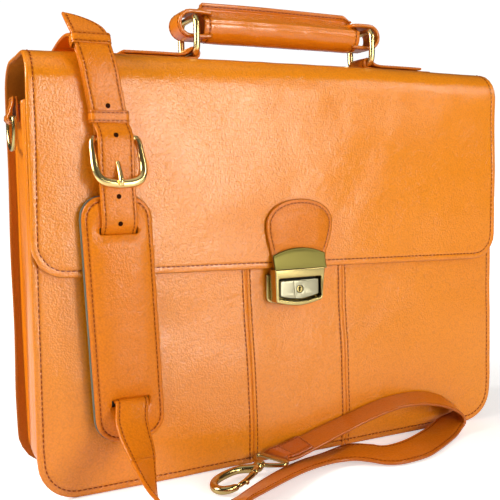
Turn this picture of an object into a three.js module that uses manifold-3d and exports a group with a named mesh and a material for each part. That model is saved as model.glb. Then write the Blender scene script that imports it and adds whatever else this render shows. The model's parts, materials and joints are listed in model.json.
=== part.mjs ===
// Leather satchel briefcase: a stiff leather case with a full-width flap, tuck lock, carrying
// handle on two swinging rings, and a buckled shoulder strap with a leather shoulder pad that
// hangs over the flap.
//
// Frame: millimetres, +Z up. X runs along the width of the case, -Y is the front (lock side),
// +Y the back. Origin: centre of the flat underside, so z = 0 is the surface the case stands on.
import * as THREE from 'three';
import { mergeVertices } from 'three/addons/utils/BufferGeometryUtils.js';
import Module from 'manifold-3d';

const wasm = await Module();
wasm.setup();

// ---------------------------------------------------------------- driving dimensions
const CASE_W = 421;              // over the side edges of the front and back panels
const CASE_D = 84;               // over the front and back panels
const HALF_W = CASE_W / 2;
const FRONT_Y = -CASE_D / 2;
const BACK_Y = CASE_D / 2;
const BASE_Z = 0.4;              // lower edge of the panels
const BACK_TOP = 296;            // top edge of the back panel, under the flap's hinge line
const FRONT_TOP = 286;           // top edge of the front panel, hidden under the flap
const LEATHER = 3;               // panel leather
const CORNER_R = 28;             // lower corners of the case

const FLAP_W = 420;
const FLAP_T = 3.6;              // flap leather, two layers glued
const FLAP_TOP = 322.4;          // highest point of the flap leather
const FLAP_FACE = -47.6;         // outer face of the hanging flap
const FLAP_BACK = FLAP_FACE + FLAP_T;
const FLAP_R = 22;               // bend radius, outer face
const FLAP_FOLD_Z = 296;         // the flap's front fold
const FLAP_EDGE_L = 162.8;       // lower edge of the flap at its left end
const FLAP_EDGE_R = 153.2;       // and at its right end

const LOCK_X = -3;               // lock centre line
const LOCK_Z = 141.5;            // centre of the lock's push plate
const LOCK_SCREW_DX = 14;        // screws stand this far each side of the centre line
const BASE_SCREW_Z = 151.5;      // screws that hold the base plate to the front panel
const HASP_SCREW_Z = 163.5;      // screws that hold the hasp to the flap

const HANDLE_X = 9;
const HANDLE_Y = -5;

const STRAP_W = 26;
const STRAP_T = 2.6;
const BUCKLE_X = -150;
const PRONG_X = BUCKLE_X - 1;
const LONG_X = -151.6;           // centre line of the long strap before it leans

const SIDES = [['left', -1], ['right', 1]];

// ---------------------------------------------------------------- materials
const standard = (settings) => new THREE.MeshStandardMaterial(settings);
const tanLeather = standard({ color: 0xd9791f, roughness: 0.42 });
const darkLeather = standard({ color: 0xc2661b, roughness: 0.5 });
const suede = standard({ color: 0xb98a56, roughness: 0.9 });
const brass = standard({ color: 0xb99b45, roughness: 0.32, metalness: 1 });
const champagne = standard({ color: 0xd3c795, roughness: 0.35, metalness: 1 });
const steel = standard({ color: 0x8f8f90, roughness: 0.4, metalness: 1 });
const stiffBacking = standard({ color: 0x4f5650, roughness: 0.85 });
const cloth = standard({ color: 0x6d4a2c, roughness: 0.95 });

// ---------------------------------------------------------------- closed bodies
const vec = (x, y, z) => new THREE.Vector3(x, y, z);

function signedVolume(geometry) {
  const index = geometry.index.array;
  const corner = (i) => vec(0, 0, 0).fromBufferAttribute(geometry.attributes.position, index[i]);
  let volume = 0;
  for (let i = 0; i < index.length; i += 3) {
    volume += corner(i).dot(corner(i + 1).cross(corner(i + 2))) / 6;
  }
  return volume;
}

// shared vertices, outward faces
function tidy(geometry) {
  geometry.deleteAttribute('normal');
  geometry.deleteAttribute('uv');
  const merged = mergeVertices(geometry, 1e-4);
  if (signedVolume(merged) < 0) {
    const index = merged.index.array;
    for (let i = 0; i < index.length; i += 3) {
      [index[i + 1], index[i + 2]] = [index[i + 2], index[i + 1]];
    }
  }
  return merged;
}

// skins rings of vertices laid one after another; joined end to end if closed, else capped
function skinRings(vertices, sides, closed = false) {
  const rings = vertices.length / sides;
  const triangles = [];
  for (let i = 0; i < (closed ? rings : rings - 1); i++) {
    const near = i * sides;
    const far = ((i + 1) % rings) * sides;
    for (let k = 0; k < sides; k++) {
      const next = (k + 1) % sides;
      triangles.push([near + k, near + next, far + next], [near + k, far + next, far + k]);
    }
  }
  if (!closed) {
    const end = (rings - 1) * sides;
    for (let k = 1; k < sides - 1; k++) {
      triangles.push([0, k + 1, k], [end, end + k, end + k + 1]);
    }
  }
  const geometry = new THREE.BufferGeometry();
  const coordinates = vertices.flatMap((vertex) => vertex.toArray());
  geometry.setAttribute('position', new THREE.Float32BufferAttribute(coordinates, 3));
  geometry.setIndex(triangles.flat());
  return tidy(geometry);
}

// round wire along a line of points; radius is one number, or one per point
function wire(points, radius, { sides = 8, closed = false } = {}) {
  const count = points.length;
  const vertices = [];
  let normal = null;
  points.forEach((point, i) => {
    const before = points[closed ? (i + count - 1) % count : Math.max(0, i - 1)];
    const after = points[closed ? (i + 1) % count : Math.min(count - 1, i + 1)];
    const tangent = after.clone().sub(before).normalize();
    // the normal is carried from ring to ring, so the wire does not twist
    normal ??= Math.abs(tangent.z) < 0.9 ? vec(0, 0, 1) : vec(1, 0, 0);
    normal = normal.clone().addScaledVector(tangent, -normal.dot(tangent)).normalize();
    const across = tangent.clone().cross(normal);
    const ringRadius = Array.isArray(radius) ? radius[i] : radius;
    for (let k = 0; k < sides; k++) {
      const angle = 2 * Math.PI * (k + 0.5) / sides;
      vertices.push(point.clone()
        .addScaledVector(normal, ringRadius * Math.cos(angle))
        .addScaledVector(across, ringRadius * Math.sin(angle)));
    }
  });
  return skinRings(vertices, sides, closed);
}

// flat strap through pairs of edge points, square cut at both ends
function strap(edgePairs) {
  const centres = edgePairs.map(([one, other]) => one.clone().add(other).multiplyScalar(0.5));
  const last = centres.length - 1;
  const vertices = [];
  edgePairs.forEach(([one, other], i) => {
    const across = one.clone().sub(other).normalize();
    const before = centres[Math.max(0, i - 1)];
    const tangent = centres[Math.min(last, i + 1)].clone().sub(before).normalize();
    const normal = tangent.clone().cross(across).normalize();
    // a skewed station keeps its own direction and is lengthened to hold the strap's width
    const stretch = 1 / Math.max(0.8, Math.sqrt(1 - across.dot(tangent) ** 2));
    for (const [widthSign, faceSign] of [[1, 1], [-1, 1], [-1, -1], [1, -1]]) {
      vertices.push(centres[i].clone()
        .addScaledVector(across, stretch * widthSign * STRAP_W / 2)
        .addScaledVector(normal, faceSign * STRAP_T / 2));
    }
  });
  return skinRings(vertices, 4);
}

// strap through centre points [x, y, z], its width lying along X
const levelStrap = (points) => strap(points.map(([x, y, z]) => [vec(x + 1, y, z), vec(x - 1, y, z)]));

// ranges are [low, high]
const around = (centre, half) => [centre - half, centre + half];

function rodY(x, z, radius, [y0, y1], sides) {
  const geometry = new THREE.CylinderGeometry(radius, radius, y1 - y0, sides);
  return tidy(geometry.translate(x, (y0 + y1) / 2, z));
}

function box([x0, x1], [y0, y1], [z0, z1]) {
  const geometry = new THREE.BoxGeometry(x1 - x0, y1 - y0, z1 - z0);
  return tidy(geometry.translate((x0 + x1) / 2, (y0 + y1) / 2, (z0 + z1) / 2));
}

// ---------------------------------------------------------------- outlines and extrusions
function extrude(shape, [from, to], axes, origin, curveSegments = 8) {
  const options = { depth: to - from, bevelEnabled: false, curveSegments, steps: 1 };
  const geometry = new THREE.ExtrudeGeometry(shape, options);
  return tidy(geometry.applyMatrix4(new THREE.Matrix4().makeBasis(...axes).setPosition(origin)));
}

// outline in (x, z), solid over a range of y
const alongY = (shape, range, segments) =>
  extrude(shape, range, [vec(1, 0, 0), vec(0, 0, 1), vec(0, -1, 0)], vec(0, range[1], 0), segments);
// outline in (y, z), solid over a range of x
const alongX = (shape, range) =>
  extrude(shape, range, [vec(0, 1, 0), vec(0, 0, 1), vec(1, 0, 0)], vec(range[0], 0, 0));
// outline in (x, y), solid over a range of z
const alongZ = (shape, range, segments) =>
  extrude(shape, range, [vec(1, 0, 0), vec(0, 1, 0), vec(0, 0, 1)], vec(0, 0, range[0]), segments);

const flatPoints = (pairs) => pairs.map(([a, b]) => new THREE.Vector2(a, b));
const polygon = (pairs) => new THREE.Shape(flatPoints(pairs));
const polygonHole = (pairs) => new THREE.Path(flatPoints(pairs));
const roundHole = (x, z, radius) => new THREE.Path().absarc(x, z, radius, 0, Math.PI * 2, true);

function withHoles(shape, ...holes) {
  shape.holes.push(...holes);
  return shape;
}

const screwHoles = (centreX, z, radius) =>
  [-1, 1].map((side) => roundHole(centreX + side * LOCK_SCREW_DX, z, radius));

// rectangle with one radius for its two lower corners and one for its two upper corners
function roundedRect([a0, a1], [b0, b1], lower, upper = lower) {
  const shape = new THREE.Shape();
  shape.moveTo(a0 + lower, b0);
  shape.lineTo(a1 - lower, b0);
  shape.absarc(a1 - lower, b0 + lower, lower, -Math.PI / 2, 0, false);
  shape.lineTo(a1, b1 - upper);
  shape.absarc(a1 - upper, b1 - upper, upper, 0, Math.PI / 2, false);
  shape.lineTo(a0 + upper, b1);
  shape.absarc(a0 + upper, b1 - upper, upper, Math.PI / 2, Math.PI, false);
  shape.lineTo(a0, b0 + lower);
  shape.absarc(a0 + lower, b0 + lower, lower, Math.PI, 1.5 * Math.PI, false);
  return shape;
}

// a strip of even thickness along a bent line, mitred at the bends
function strip(pairs, thickness) {
  const line = flatPoints(pairs);
  const left = [];
  const right = [];
  line.forEach((point, i) => {
    const before = i > 0 ? point.clone().sub(line[i - 1]).normalize() : null;
    const after = i < line.length - 1 ? line[i + 1].clone().sub(point).normalize() : null;
    const along = before && after ? before.clone().add(after).normalize() : before || after;
    const normal = new THREE.Vector2(-along.y, along.x);
    const reach = thickness / 2 / Math.max(0.5, along.dot(before || after));
    left.push(point.clone().addScaledVector(normal, reach));
    right.push(point.clone().addScaledVector(normal, -reach));
  });
  return new THREE.Shape([...left, ...right.reverse()]);
}

// points on an arc, angles in degrees
function arc(centreA, centreB, radius, from, to, steps) {
  return Array.from({ length: steps + 1 }, (_, i) => {
    const angle = (from + (to - from) * i / steps) * Math.PI / 180;
    return [centreA + radius * Math.cos(angle), centreB + radius * Math.sin(angle)];
  });
}

// moves points to an origin; side -1 also mirrors their first coordinate
const placed = (pairs, side, originA = 0, originB = 0) =>
  pairs.map(([a, b]) => [originA + side * a, originB + b]);

// ---------------------------------------------------------------- booleans
function toSolid(geometry) {
  return new wasm.Manifold(new wasm.Mesh({
    numProp: 3,
    vertProperties: new Float32Array(geometry.attributes.position.array),
    triVerts: new Uint32Array(geometry.index.array),
  }));
}

function fromSolid(solid) {
  const { vertProperties, numProp, triVerts } = solid.getMesh();
  const positions = new Float32Array(vertProperties.length / numProp * 3);
  for (let i = 0; i < positions.length / 3; i++) {
    for (let k = 0; k < 3; k++) positions[3 * i + k] = vertProperties[i * numProp + k];
  }
  const geometry = new THREE.BufferGeometry();
  geometry.setAttribute('position', new THREE.BufferAttribute(positions, 3));
  geometry.setIndex(new THREE.BufferAttribute(new Uint32Array(triVerts), 1));
  return geometry;
}

const cut = (body, ...tools) =>
  fromSolid(tools.reduce((solid, tool) => solid.subtract(toSolid(tool)), toSolid(body)));
const join = (body, ...others) =>
  fromSolid(others.reduce((solid, other) => solid.add(toSolid(other)), toSolid(body)));

// ---------------------------------------------------------------- model
const model = new THREE.Group();

function add(name, geometry, material, parent = model) {
  const mesh = new THREE.Mesh(geometry, material);
  mesh.name = name;
  parent.add(mesh);
  return mesh;
}

// ---------------------------------------------------------------- case panels
// x of the two seams across the front panel
const LEFT_SEAM = { top: -47.6, bottom: -40.0 };
const RIGHT_SEAM = { top: 43.0, bottom: 47.4 };
const SEAM_GAP = 0.2;            // from a seam's line to the panel on either side
const FRONT_CHAMFER = 4;         // upper outer corners of the front panel
const FRONT_RANGE = [FRONT_Y, FRONT_Y + LEATHER];

const seamX = ({ top, bottom }, z) => bottom + (top - bottom) * z / FRONT_TOP;

function outerFrontPanel(side, seam) {
  const arcX = side * (HALF_W - CORNER_R);
  const arcEnd = side > 0 ? 0 : -Math.PI;
  const shape = new THREE.Shape();
  shape.moveTo(seamX(seam, BASE_Z) + side * SEAM_GAP, BASE_Z);
  shape.lineTo(arcX, BASE_Z);
  shape.absarc(arcX, BASE_Z + CORNER_R, CORNER_R, -Math.PI / 2, arcEnd, side < 0);
  shape.lineTo(side * HALF_W, FRONT_TOP - FRONT_CHAMFER);
  shape.lineTo(side * (HALF_W - FRONT_CHAMFER), FRONT_TOP);
  shape.lineTo(seam.top + side * SEAM_GAP, FRONT_TOP);
  return alongY(shape, FRONT_RANGE);
}

function centreFrontPanel() {
  const shape = polygon([
    [seamX(LEFT_SEAM, BASE_Z) + SEAM_GAP, BASE_Z],
    [seamX(RIGHT_SEAM, BASE_Z) - SEAM_GAP, BASE_Z],
    [RIGHT_SEAM.top - SEAM_GAP, FRONT_TOP],
    [LEFT_SEAM.top + SEAM_GAP, FRONT_TOP],
  ]);
  return alongY(withHoles(shape, ...screwHoles(LOCK_X, BASE_SCREW_Z, 1.7)), FRONT_RANGE, 5);
}

const backShape = roundedRect([-HALF_W, HALF_W], [BASE_Z, BACK_TOP], CORNER_R, 6);
add('back_panel', alongY(backShape, [BACK_Y - LEATHER, BACK_Y]), tanLeather);
add('front_panel_left', outerFrontPanel(-1, LEFT_SEAM), tanLeather);
add('front_panel_centre', centreFrontPanel(), tanLeather);
add('front_panel_right', outerFrontPanel(1, RIGHT_SEAM), tanLeather);

// ---------------------------------------------------------------- gussets and bottom
const GUSSET_X = 206.5;          // outermost centre line of the gussets
const GUSSET_Y = BACK_Y - LEATHER - 0.4;
// pleats of the right gusset: x, y
const PLEATS = [
  [GUSSET_X, -GUSSET_Y], [206.2, -26], [199, -13], [205.4, 0],
  [199, 13], [206.2, 26], [GUSSET_X, GUSSET_Y],
];
for (const [sideName, side] of SIDES) {
  const outline = strip(placed(PLEATS, side), 2.2);
  add(`gusset_${sideName}`, alongZ(outline, [31.2, 288]), darkLeather);
}

// bottom strip, turned up at both ends
function bottomPanel() {
  const arcX = GUSSET_X - CORNER_R;
  const arcZ = 1.2 + CORNER_R;
  const line = [
    ...arc(-arcX, arcZ, CORNER_R, 180, 270, 6),
    ...arc(arcX, arcZ, CORNER_R, 270, 360, 6),
  ];
  return alongY(strip(line, 2.4), [-GUSSET_Y, GUSSET_Y]);
}
add('bottom_panel', bottomPanel(), darkLeather);

// ---------------------------------------------------------------- inside of the case
// name, half width, z range, lower and upper corner radius, y range, material
const INNER_SHEETS = [
  ['lining_front', 194, [3.4, 282], 22, 2, [-36.2, -35.2], cloth],
  ['lining_back', 194, [3.4, 288], 22, 2, [37.3, 38.3], cloth],
  ['divider_front', 193, [3.4, 262], 20, 8, [-14, -12], suede],
  ['divider_rear', 193, [3.4, 262], 20, 8, [12, 14], suede],
  ['inner_pocket', 120, [70, 236], 8, 8, [35.4, 36.9], suede],
];
for (const [name, half, zRange, lower, upper, yRange, material] of INNER_SHEETS) {
  add(name, alongY(roundedRect([-half, half], zRange, lower, upper), yRange, 4), material);
}

// ---------------------------------------------------------------- side D-rings on leather tabs
const D_RING_X = 211;
const D_RING_Y = 5;              // the rings sit behind the middle of the gusset
const D_RING_Z = 277;
// centre line of the right tab, folded under the ring's bar: x, z
const TAB_LINE = [
  [209.8, 291], [213.2, 282],
  ...arc(D_RING_X, D_RING_Z, 3.4, 0, -180, 6),
  [207.6, 282], [207.6, 294],
];
// the ring's straight bar is at the top, its bow below
const dRingPoints = () => [
  ...arc(10.5, 0, 2.2, 90, 0, 2),
  ...arc(0, -9, 12.7, -5, -175, 12),
  ...arc(-10.5, 0, 2.2, 180, 90, 2),
].map(([y, z]) => vec(0, y, z - 2.2));

for (const [sideName, side] of SIDES) {
  const tab = alongY(strip(placed(TAB_LINE, side), 1.7), around(D_RING_Y, 8.5));
  add(`dring_tab_${sideName}`, tab, darkLeather);
  const ring = add(`dring_${sideName}`, wire(dRingPoints(), 1.8, { closed: true }), brass);
  ring.position.set(side * D_RING_X, D_RING_Y, D_RING_Z);
}

// ---------------------------------------------------------------- lock on the front panel
// lock and hasp parts are drawn with x = 0 on the lock's centre line
const addLockPart = (name, geometry, material) =>
  add(name, geometry.translate(LOCK_X, 0, 0), material);

// plate with a bowed lower edge and chamfered upper corners
function bowedPlate({ half, bottom, top, sag, chamfer }) {
  const shape = new THREE.Shape();
  shape.moveTo(-half, bottom + sag + 1);
  shape.quadraticCurveTo(-half, bottom + sag - 0.6, -half + 3, bottom + sag - 1);
  shape.quadraticCurveTo(0, bottom - sag * 0.4, half - 3, bottom + sag - 1);
  shape.quadraticCurveTo(half, bottom + sag - 0.6, half, bottom + sag + 1);
  shape.lineTo(half, top - chamfer);
  shape.lineTo(half - chamfer, top);
  shape.lineTo(-half + chamfer, top);
  shape.lineTo(-half, top - chamfer);
  return shape;
}

function lockBasePlate() {
  const plate = bowedPlate({ half: 24.6, bottom: 129.2, top: 154, sag: 3, chamfer: 2 });
  return alongY(plate, [-44.3, -42.3], 5);
}

function lockBody() {
  const plate = bowedPlate({ half: 18.4, bottom: 133.2, top: 149.6, sag: 2.2, chamfer: 1 });
  const cavity = polygonHole([[-12, 137.2], [-12, 147.6], [12, 147.6], [12, 137.2]]);
  return alongY(withHoles(plate, cavity), [-50.2, -44.6], 5);
}

function lockPushPlate() {
  const plate = bowedPlate({ half: 18.4, bottom: 133.4, top: 149.4, sag: 2.2, chamfer: 1 });
  return alongY(withHoles(plate, roundHole(0, LOCK_Z, 3.0)), [-55.2, -52.6], 5);
}

function lockCylinder() {
  const disc = new THREE.Shape().absarc(0, LOCK_Z, 2.7, 0, Math.PI * 2, false);
  const keyhole = [
    [-0.5, -1.7], [-0.5, 0.4], [-0.9, 1.2], [0, 1.8], [0.9, 1.2], [0.5, 0.4], [0.5, -1.7],
  ];
  return alongY(withHoles(disc, polygonHole(placed(keyhole, 1, 0, LOCK_Z))), [-55.0, -52.7], 7);
}

function latchBolt() {
  const yRange = [-49.6, -45.4];
  return join(box([-8, 8], yRange, [142.6, 146.4]), box([-3.2, 3.2], yRange, [141.4, 143]));
}

function latchSpring() {
  const radius = 1.5;
  const steps = 30;
  const stepsPerTurn = 10;
  const coil = [];
  for (let i = 0; i <= steps; i++) {
    const angle = i / stepsPerTurn * Math.PI * 2;
    const height = 2.9 * i / steps;
    coil.push(vec(radius * Math.cos(angle), -47.5 + radius * Math.sin(angle), 137.8 + height));
  }
  return wire(coil, 0.28, { sides: 5 });
}

function lockBackPlate() {
  const plate = roundedRect([-20, 20], [128, 156], 3);
  return alongY(withHoles(plate, ...screwHoles(0, BASE_SCREW_Z, 1.7)), [-38.7, -37.9], 3);
}

// a shank with a wider head, both over ranges of y
function screw(x, z, shankRange, headRadius, headRange) {
  return join(rodY(x, z, 1.3, shankRange, 10), rodY(x, z, headRadius, headRange, 10));
}

addLockPart('lock_base_plate', lockBasePlate(), brass);
addLockPart('lock_body', lockBody(), champagne);
addLockPart('lock_push_plate', lockPushPlate(), champagne);
addLockPart('lock_cylinder', lockCylinder(), brass);
addLockPart('latch_bolt', latchBolt(), steel);
addLockPart('latch_spring', latchSpring(), steel);
addLockPart('lock_back_plate', lockBackPlate(), steel);
for (const [sideName, side] of SIDES) {
  // from the inside: head behind the back plate, shank through the panel to the base plate
  const x = side * LOCK_SCREW_DX;
  const body = screw(x, BASE_SCREW_Z, [-42.1, -37.4], 2.6, [-37.6, -36.6]);
  addLockPart(`lock_screw_${sideName}`, body, steel);
}

// ---------------------------------------------------------------- flap
const FOLD_GAP = 3.5;            // each flap piece stops this far from the front fold
const HINGE_GAP = 3.6;           // between the back panel and the flap's rear edge

// arch over the top of the case, seen from the side
function flapTop() {
  const innerR = FLAP_R - FLAP_T;
  const frontY = FLAP_FACE + FLAP_R;
  const rearY = BACK_Y - FLAP_R;
  const bendZ = FLAP_TOP - FLAP_R;
  const frontEnd = FLAP_FOLD_Z + FOLD_GAP;
  const rearEnd = BACK_TOP + HINGE_GAP;
  const outline = polygon([
    [FLAP_FACE, frontEnd],
    ...arc(frontY, bendZ, FLAP_R, 180, 90, 6),
    ...arc(rearY, bendZ, FLAP_R, 90, 0, 6),
    [BACK_Y, rearEnd],
    [BACK_Y - FLAP_T, rearEnd],
    ...arc(rearY, bendZ, innerR, 0, 90, 6),
    ...arc(frontY, bendZ, innerR, 90, 180, 6),
    [FLAP_BACK, frontEnd],
  ]);
  return alongX(outline, around(0, FLAP_W / 2 - 2));
}

function flapFront() {
  const half = FLAP_W / 2;
  const corner = 24;
  const top = FLAP_FOLD_Z - FOLD_GAP;
  const shape = new THREE.Shape();
  shape.moveTo(-half, top);
  shape.lineTo(-half, FLAP_EDGE_L + corner);
  shape.quadraticCurveTo(-half, FLAP_EDGE_L + 2.5, -half + corner, FLAP_EDGE_L - 0.5);
  shape.lineTo(half - corner, FLAP_EDGE_R + 0.5);
  shape.quadraticCurveTo(half, FLAP_EDGE_R + 2.5, half, FLAP_EDGE_R + corner);
  shape.lineTo(half, top);
  withHoles(shape, ...screwHoles(LOCK_X, HASP_SCREW_Z, 1.8));
  return alongY(shape, [FLAP_FACE, FLAP_BACK], 6);
}

add('flap_top', flapTop(), tanLeather);
add('flap_front', flapFront(), tanLeather);

// ---------------------------------------------------------------- tongue and hasp on the flap
const TONGUE_BACK = FLAP_FACE - 0.3;
const TONGUE_FACE = TONGUE_BACK - 2.6;
const TONGUE_HALF = 23.8;        // half width at the lower end, shared by the hasp plate

function lockTongue() {
  const shape = new THREE.Shape();
  shape.moveTo(-TONGUE_HALF, 158.6);
  shape.lineTo(TONGUE_HALF, 158.6);
  shape.bezierCurveTo(24.5, 172, 30.5, 182, 30.5, 193);
  shape.bezierCurveTo(30.5, 206, 17, 213.4, 0, 213.4);
  shape.bezierCurveTo(-17, 213.4, -30.5, 206, -30.5, 193);
  shape.bezierCurveTo(-30.5, 182, -24.5, 172, -TONGUE_HALF, 158.6);
  withHoles(shape, ...screwHoles(0, HASP_SCREW_Z, 1.8));
  return alongY(shape, [TONGUE_FACE, TONGUE_BACK], 7);
}

function haspPlate() {
  const shape = new THREE.Shape();
  shape.moveTo(-TONGUE_HALF, 158.2);
  shape.lineTo(TONGUE_HALF, 158.2);
  shape.lineTo(TONGUE_HALF, 169.6);
  shape.quadraticCurveTo(0, 176.2, -TONGUE_HALF, 169.6);
  return alongY(shape, [TONGUE_BACK - 5, TONGUE_BACK - 2.9], 10);
}

// bezel that drops round the lock body: the front lip goes all the way round, but only the
// top and the two sides are deep, so the bezel lifts clear of the lock
function haspFrame() {
  const outerHalf = 22.6;
  const innerHalf = 19.5;
  const innerTop = 150.8;
  const lip = bowedPlate({ half: outerHalf, bottom: 128.6, top: 157.9, sag: 3, chamfer: 2 });
  const opening = bowedPlate({
    half: innerHalf, bottom: 132.1, top: innerTop, sag: 2.2, chamfer: 1,
  });
  withHoles(lip, new THREE.Path(opening.getPoints(5).reverse()));
  const hood = polygon([
    [-outerHalf, 134], [-innerHalf, 134], [-innerHalf, innerTop], [innerHalf, innerTop],
    [innerHalf, 134], [outerHalf, 134], [outerHalf, 156], [-outerHalf, 156],
  ]);
  return join(
    alongY(lip, [-57, -55.0], 5),
    alongY(hood, [-55.2, -46.2], 5),
    box([-22, 22], [-55.2, -48.3], [155.5, 157.7]),
  );
}

function haspBackPlate() {
  const plate = roundedRect([-21, 21], [158, 169], 2);
  withHoles(plate, ...screwHoles(0, HASP_SCREW_Z, 1.8));
  return alongY(plate, [FLAP_BACK + 0.3, FLAP_BACK + 0.9], 3);
}

addLockPart('lock_tongue', lockTongue(), tanLeather);
addLockPart('hasp_plate', haspPlate(), brass);
addLockPart('hasp_frame', haspFrame(), brass);
addLockPart('hasp_back_plate', haspBackPlate(), steel);
for (const [sideName, side] of SIDES) {
  const x = side * LOCK_SCREW_DX;
  const body = screw(x, HASP_SCREW_Z, [TONGUE_FACE, -42.8], 2.4, [-42.9, -42.5]);
  addLockPart(`hasp_screw_${sideName}`, body, steel);
}

// ---------------------------------------------------------------- handle
const RING_DX = 82;              // rings stand this far each side of the handle's centre
const RING_LOW = 329;            // centre of the lower ring bars
const RING_HIGH = 356;           // centre of the upper ring bars
const RING_HALF = 16.6;          // half width of a ring, wire centre
const RING_CORNER = 4;
const RING_WIRE = 2.3;
const GRIP_LEN = 146;
const GRIP_Z = 352;
const GRIP_R = 13;

// strap on the flap, folded round the lower bar: x outwards from the bar, z up from it
const HANDLE_STRAP_LINE = [
  [68, -5.15], [9, -5.15], ...arc(0, 0, 3.9, 270, 55, 8), [10.5, -2.45], [60, -2.45],
];

function handleRing(ringX) {
  const cornerY = RING_HALF - RING_CORNER;
  const lowZ = RING_LOW + RING_CORNER;
  const highZ = RING_HIGH - RING_CORNER;
  const points = [
    ...arc(cornerY, lowZ, RING_CORNER, -90, 0, 3),
    ...arc(cornerY, highZ, RING_CORNER, 0, 90, 3),
    ...arc(-cornerY, highZ, RING_CORNER, 90, 180, 3),
    ...arc(-cornerY, lowZ, RING_CORNER, 180, 270, 3),
  ].map(([y, z]) => vec(ringX, HANDLE_Y + y, z));
  return wire(points, RING_WIRE, { closed: true });
}

// end loop from the grip round the upper part of the ring
function handleLoop(side) {
  const startX = GRIP_LEN / 2 + 0.4;
  const radius = 9.3;
  const line = [
    [startX, radius], ...arc(RING_DX + 2, 0, radius, 90, -90, 8), [startX, -radius],
  ];
  return alongY(strip(placed(line, side, HANDLE_X, GRIP_Z), 2.8), around(HANDLE_Y, 11.5));
}

// rolled grip with a fin along the top
function handleGrip() {
  const finTop = GRIP_Z + 19;
  const shape = polygon([
    ...arc(HANDLE_Y, GRIP_Z, GRIP_R, 62, 360 + 50, 22),
    [HANDLE_Y + 4.2, finTop], [HANDLE_Y + 0.6, finTop],
  ]);
  const bore = polygonHole(arc(HANDLE_Y, GRIP_Z, GRIP_R - 2.6, 360, 0, 18).slice(1));
  return alongX(withHoles(shape, bore), around(HANDLE_X, GRIP_LEN / 2));
}

function handleCore() {
  const radius = GRIP_R - 3.1;
  const core = new THREE.CylinderGeometry(radius, radius, GRIP_LEN - 2, 16);
  return tidy(core.rotateZ(Math.PI / 2).translate(HANDLE_X, HANDLE_Y, GRIP_Z));
}

for (const [sideName, side] of SIDES) {
  const ringX = HANDLE_X + side * RING_DX;
  const strapOutline = strip(placed(HANDLE_STRAP_LINE, side, ringX, RING_LOW), 2.2);
  add(`handle_strap_${sideName}`, alongY(strapOutline, around(HANDLE_Y, 12)), tanLeather);
  add(`handle_ring_${sideName}`, handleRing(ringX), brass);
  add(`handle_loop_${sideName}`, handleLoop(side), darkLeather);
}
add('handle_grip', handleGrip(), tanLeather);
add('handle_core', handleCore(), cloth);

// ---------------------------------------------------------------- short end of the shoulder strap
// from the rear snap hook, over the top of the flap, down to the buckle
const BAR_Y = -53.4;             // buckle pivot bar
const BAR_Z = 260;

// strap stations in this and the next section: centre x, y, z
const SHORT_REAR = [
  [-160, 56.5, 285.5], [-160, 59.5, 274], [-160, 59.6, 262], [-160, 59, 236], [-160, 59, 214],
];
const SHORT_TOP = [
  [-157.5, -51.2, 302.5], [-158.0, -50.4, 314], [-158.6, -48.6, 321.5], [-159.6, -44.6, 332],
  [-160.2, -37, 337.5], [-160.6, -21, 340], [-161, 3, 339.5], [-161, 27, 333.5],
  [-160.6, 43, 321.5], [-160.3, 50.5, 305],
];

// runs down the flap and folds round the buckle's bar, with a slot for the prong
function shortFront() {
  const body = levelStrap([
    [-155.8, -50.6, 289.5], [-154.6, -50.4, 276], [-152, -50.0, 266],
    ...arc(BAR_Y, BAR_Z, 3.9, 8, -195, 8).map(([y, z]) => [PRONG_X, y, z]),
  ]);
  return cut(body, box(around(PRONG_X, 2.6), [-62, -45], [250, 266.5]));
}

// tilted so that its lower bar stands in front of the long strap
function buckleFrame() {
  const half = 18;
  const lowerY = -64.2;
  const lowerZ = 227.5;
  // x from the buckle's centre, share of the way from the pivot bar to the lower bar
  const stations = [
    [-half + 3, 0], [half - 3, 0], [half, 0.09], [half, 0.9], [half - 1, 0.97],
    [half - 3, 1], [-half + 3, 1], [-half + 1, 0.97], [-half, 0.9], [-half, 0.09],
  ];
  const points = stations.map(([x, share]) => vec(
    BUCKLE_X + x, BAR_Y + (lowerY - BAR_Y) * share, BAR_Z + (lowerZ - BAR_Z) * share,
  ));
  return wire(points, 2.2, { closed: true });
}

// open hook round the bar, then a tail down over the lower bar: y, z
function buckleProng() {
  const line = [
    ...arc(BAR_Y, BAR_Z, 3.75, 78, 268, 8),
    [BAR_Y - 2.6, 254.6], [-57.4, 250], [-60.3, 244], [-64, 238.5], [-67.6, 232.5], [-68.5, 226],
  ];
  return wire(line.map(([y, z]) => vec(PRONG_X, y, z)), 1.25);
}

add('strap_short_rear', levelStrap(SHORT_REAR), tanLeather);
add('strap_short_top', levelStrap(SHORT_TOP), tanLeather);
add('strap_short_front', shortFront(), tanLeather);
add('buckle_frame', buckleFrame(), brass);
add('buckle_prong', buckleProng(), brass);

// ---------------------------------------------------------------- long end of the shoulder strap
// from the tip above the flap, down through the buckle and behind the pad; below the buckle
// the strap and pad drift to the right going down
const LEAN = 0.037;              // x per unit of drop
const LEAN_FROM = 230;
const leanAt = (z) => Math.max(0, LEAN_FROM - z) * LEAN;
const leaning = (geometry) => geometry.applyMatrix4(new THREE.Matrix4().set(
  1, 0, -LEAN, LEAN * LEAN_FROM,
  0, 1, 0, 0,
  0, 0, 1, 0,
  0, 0, 0, 1,
));

const LONG_TOP = [
  [-157.7, -54.9, 304.5], [-158.3, -54.1, 315.2], [-159.0, -52.34, 322.9],
  [-160.4, -48.34, 333.4], [-163.5, -42.3, 341], [-167, -35.5, 347], [-170, -29, 351.5],
];
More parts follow.
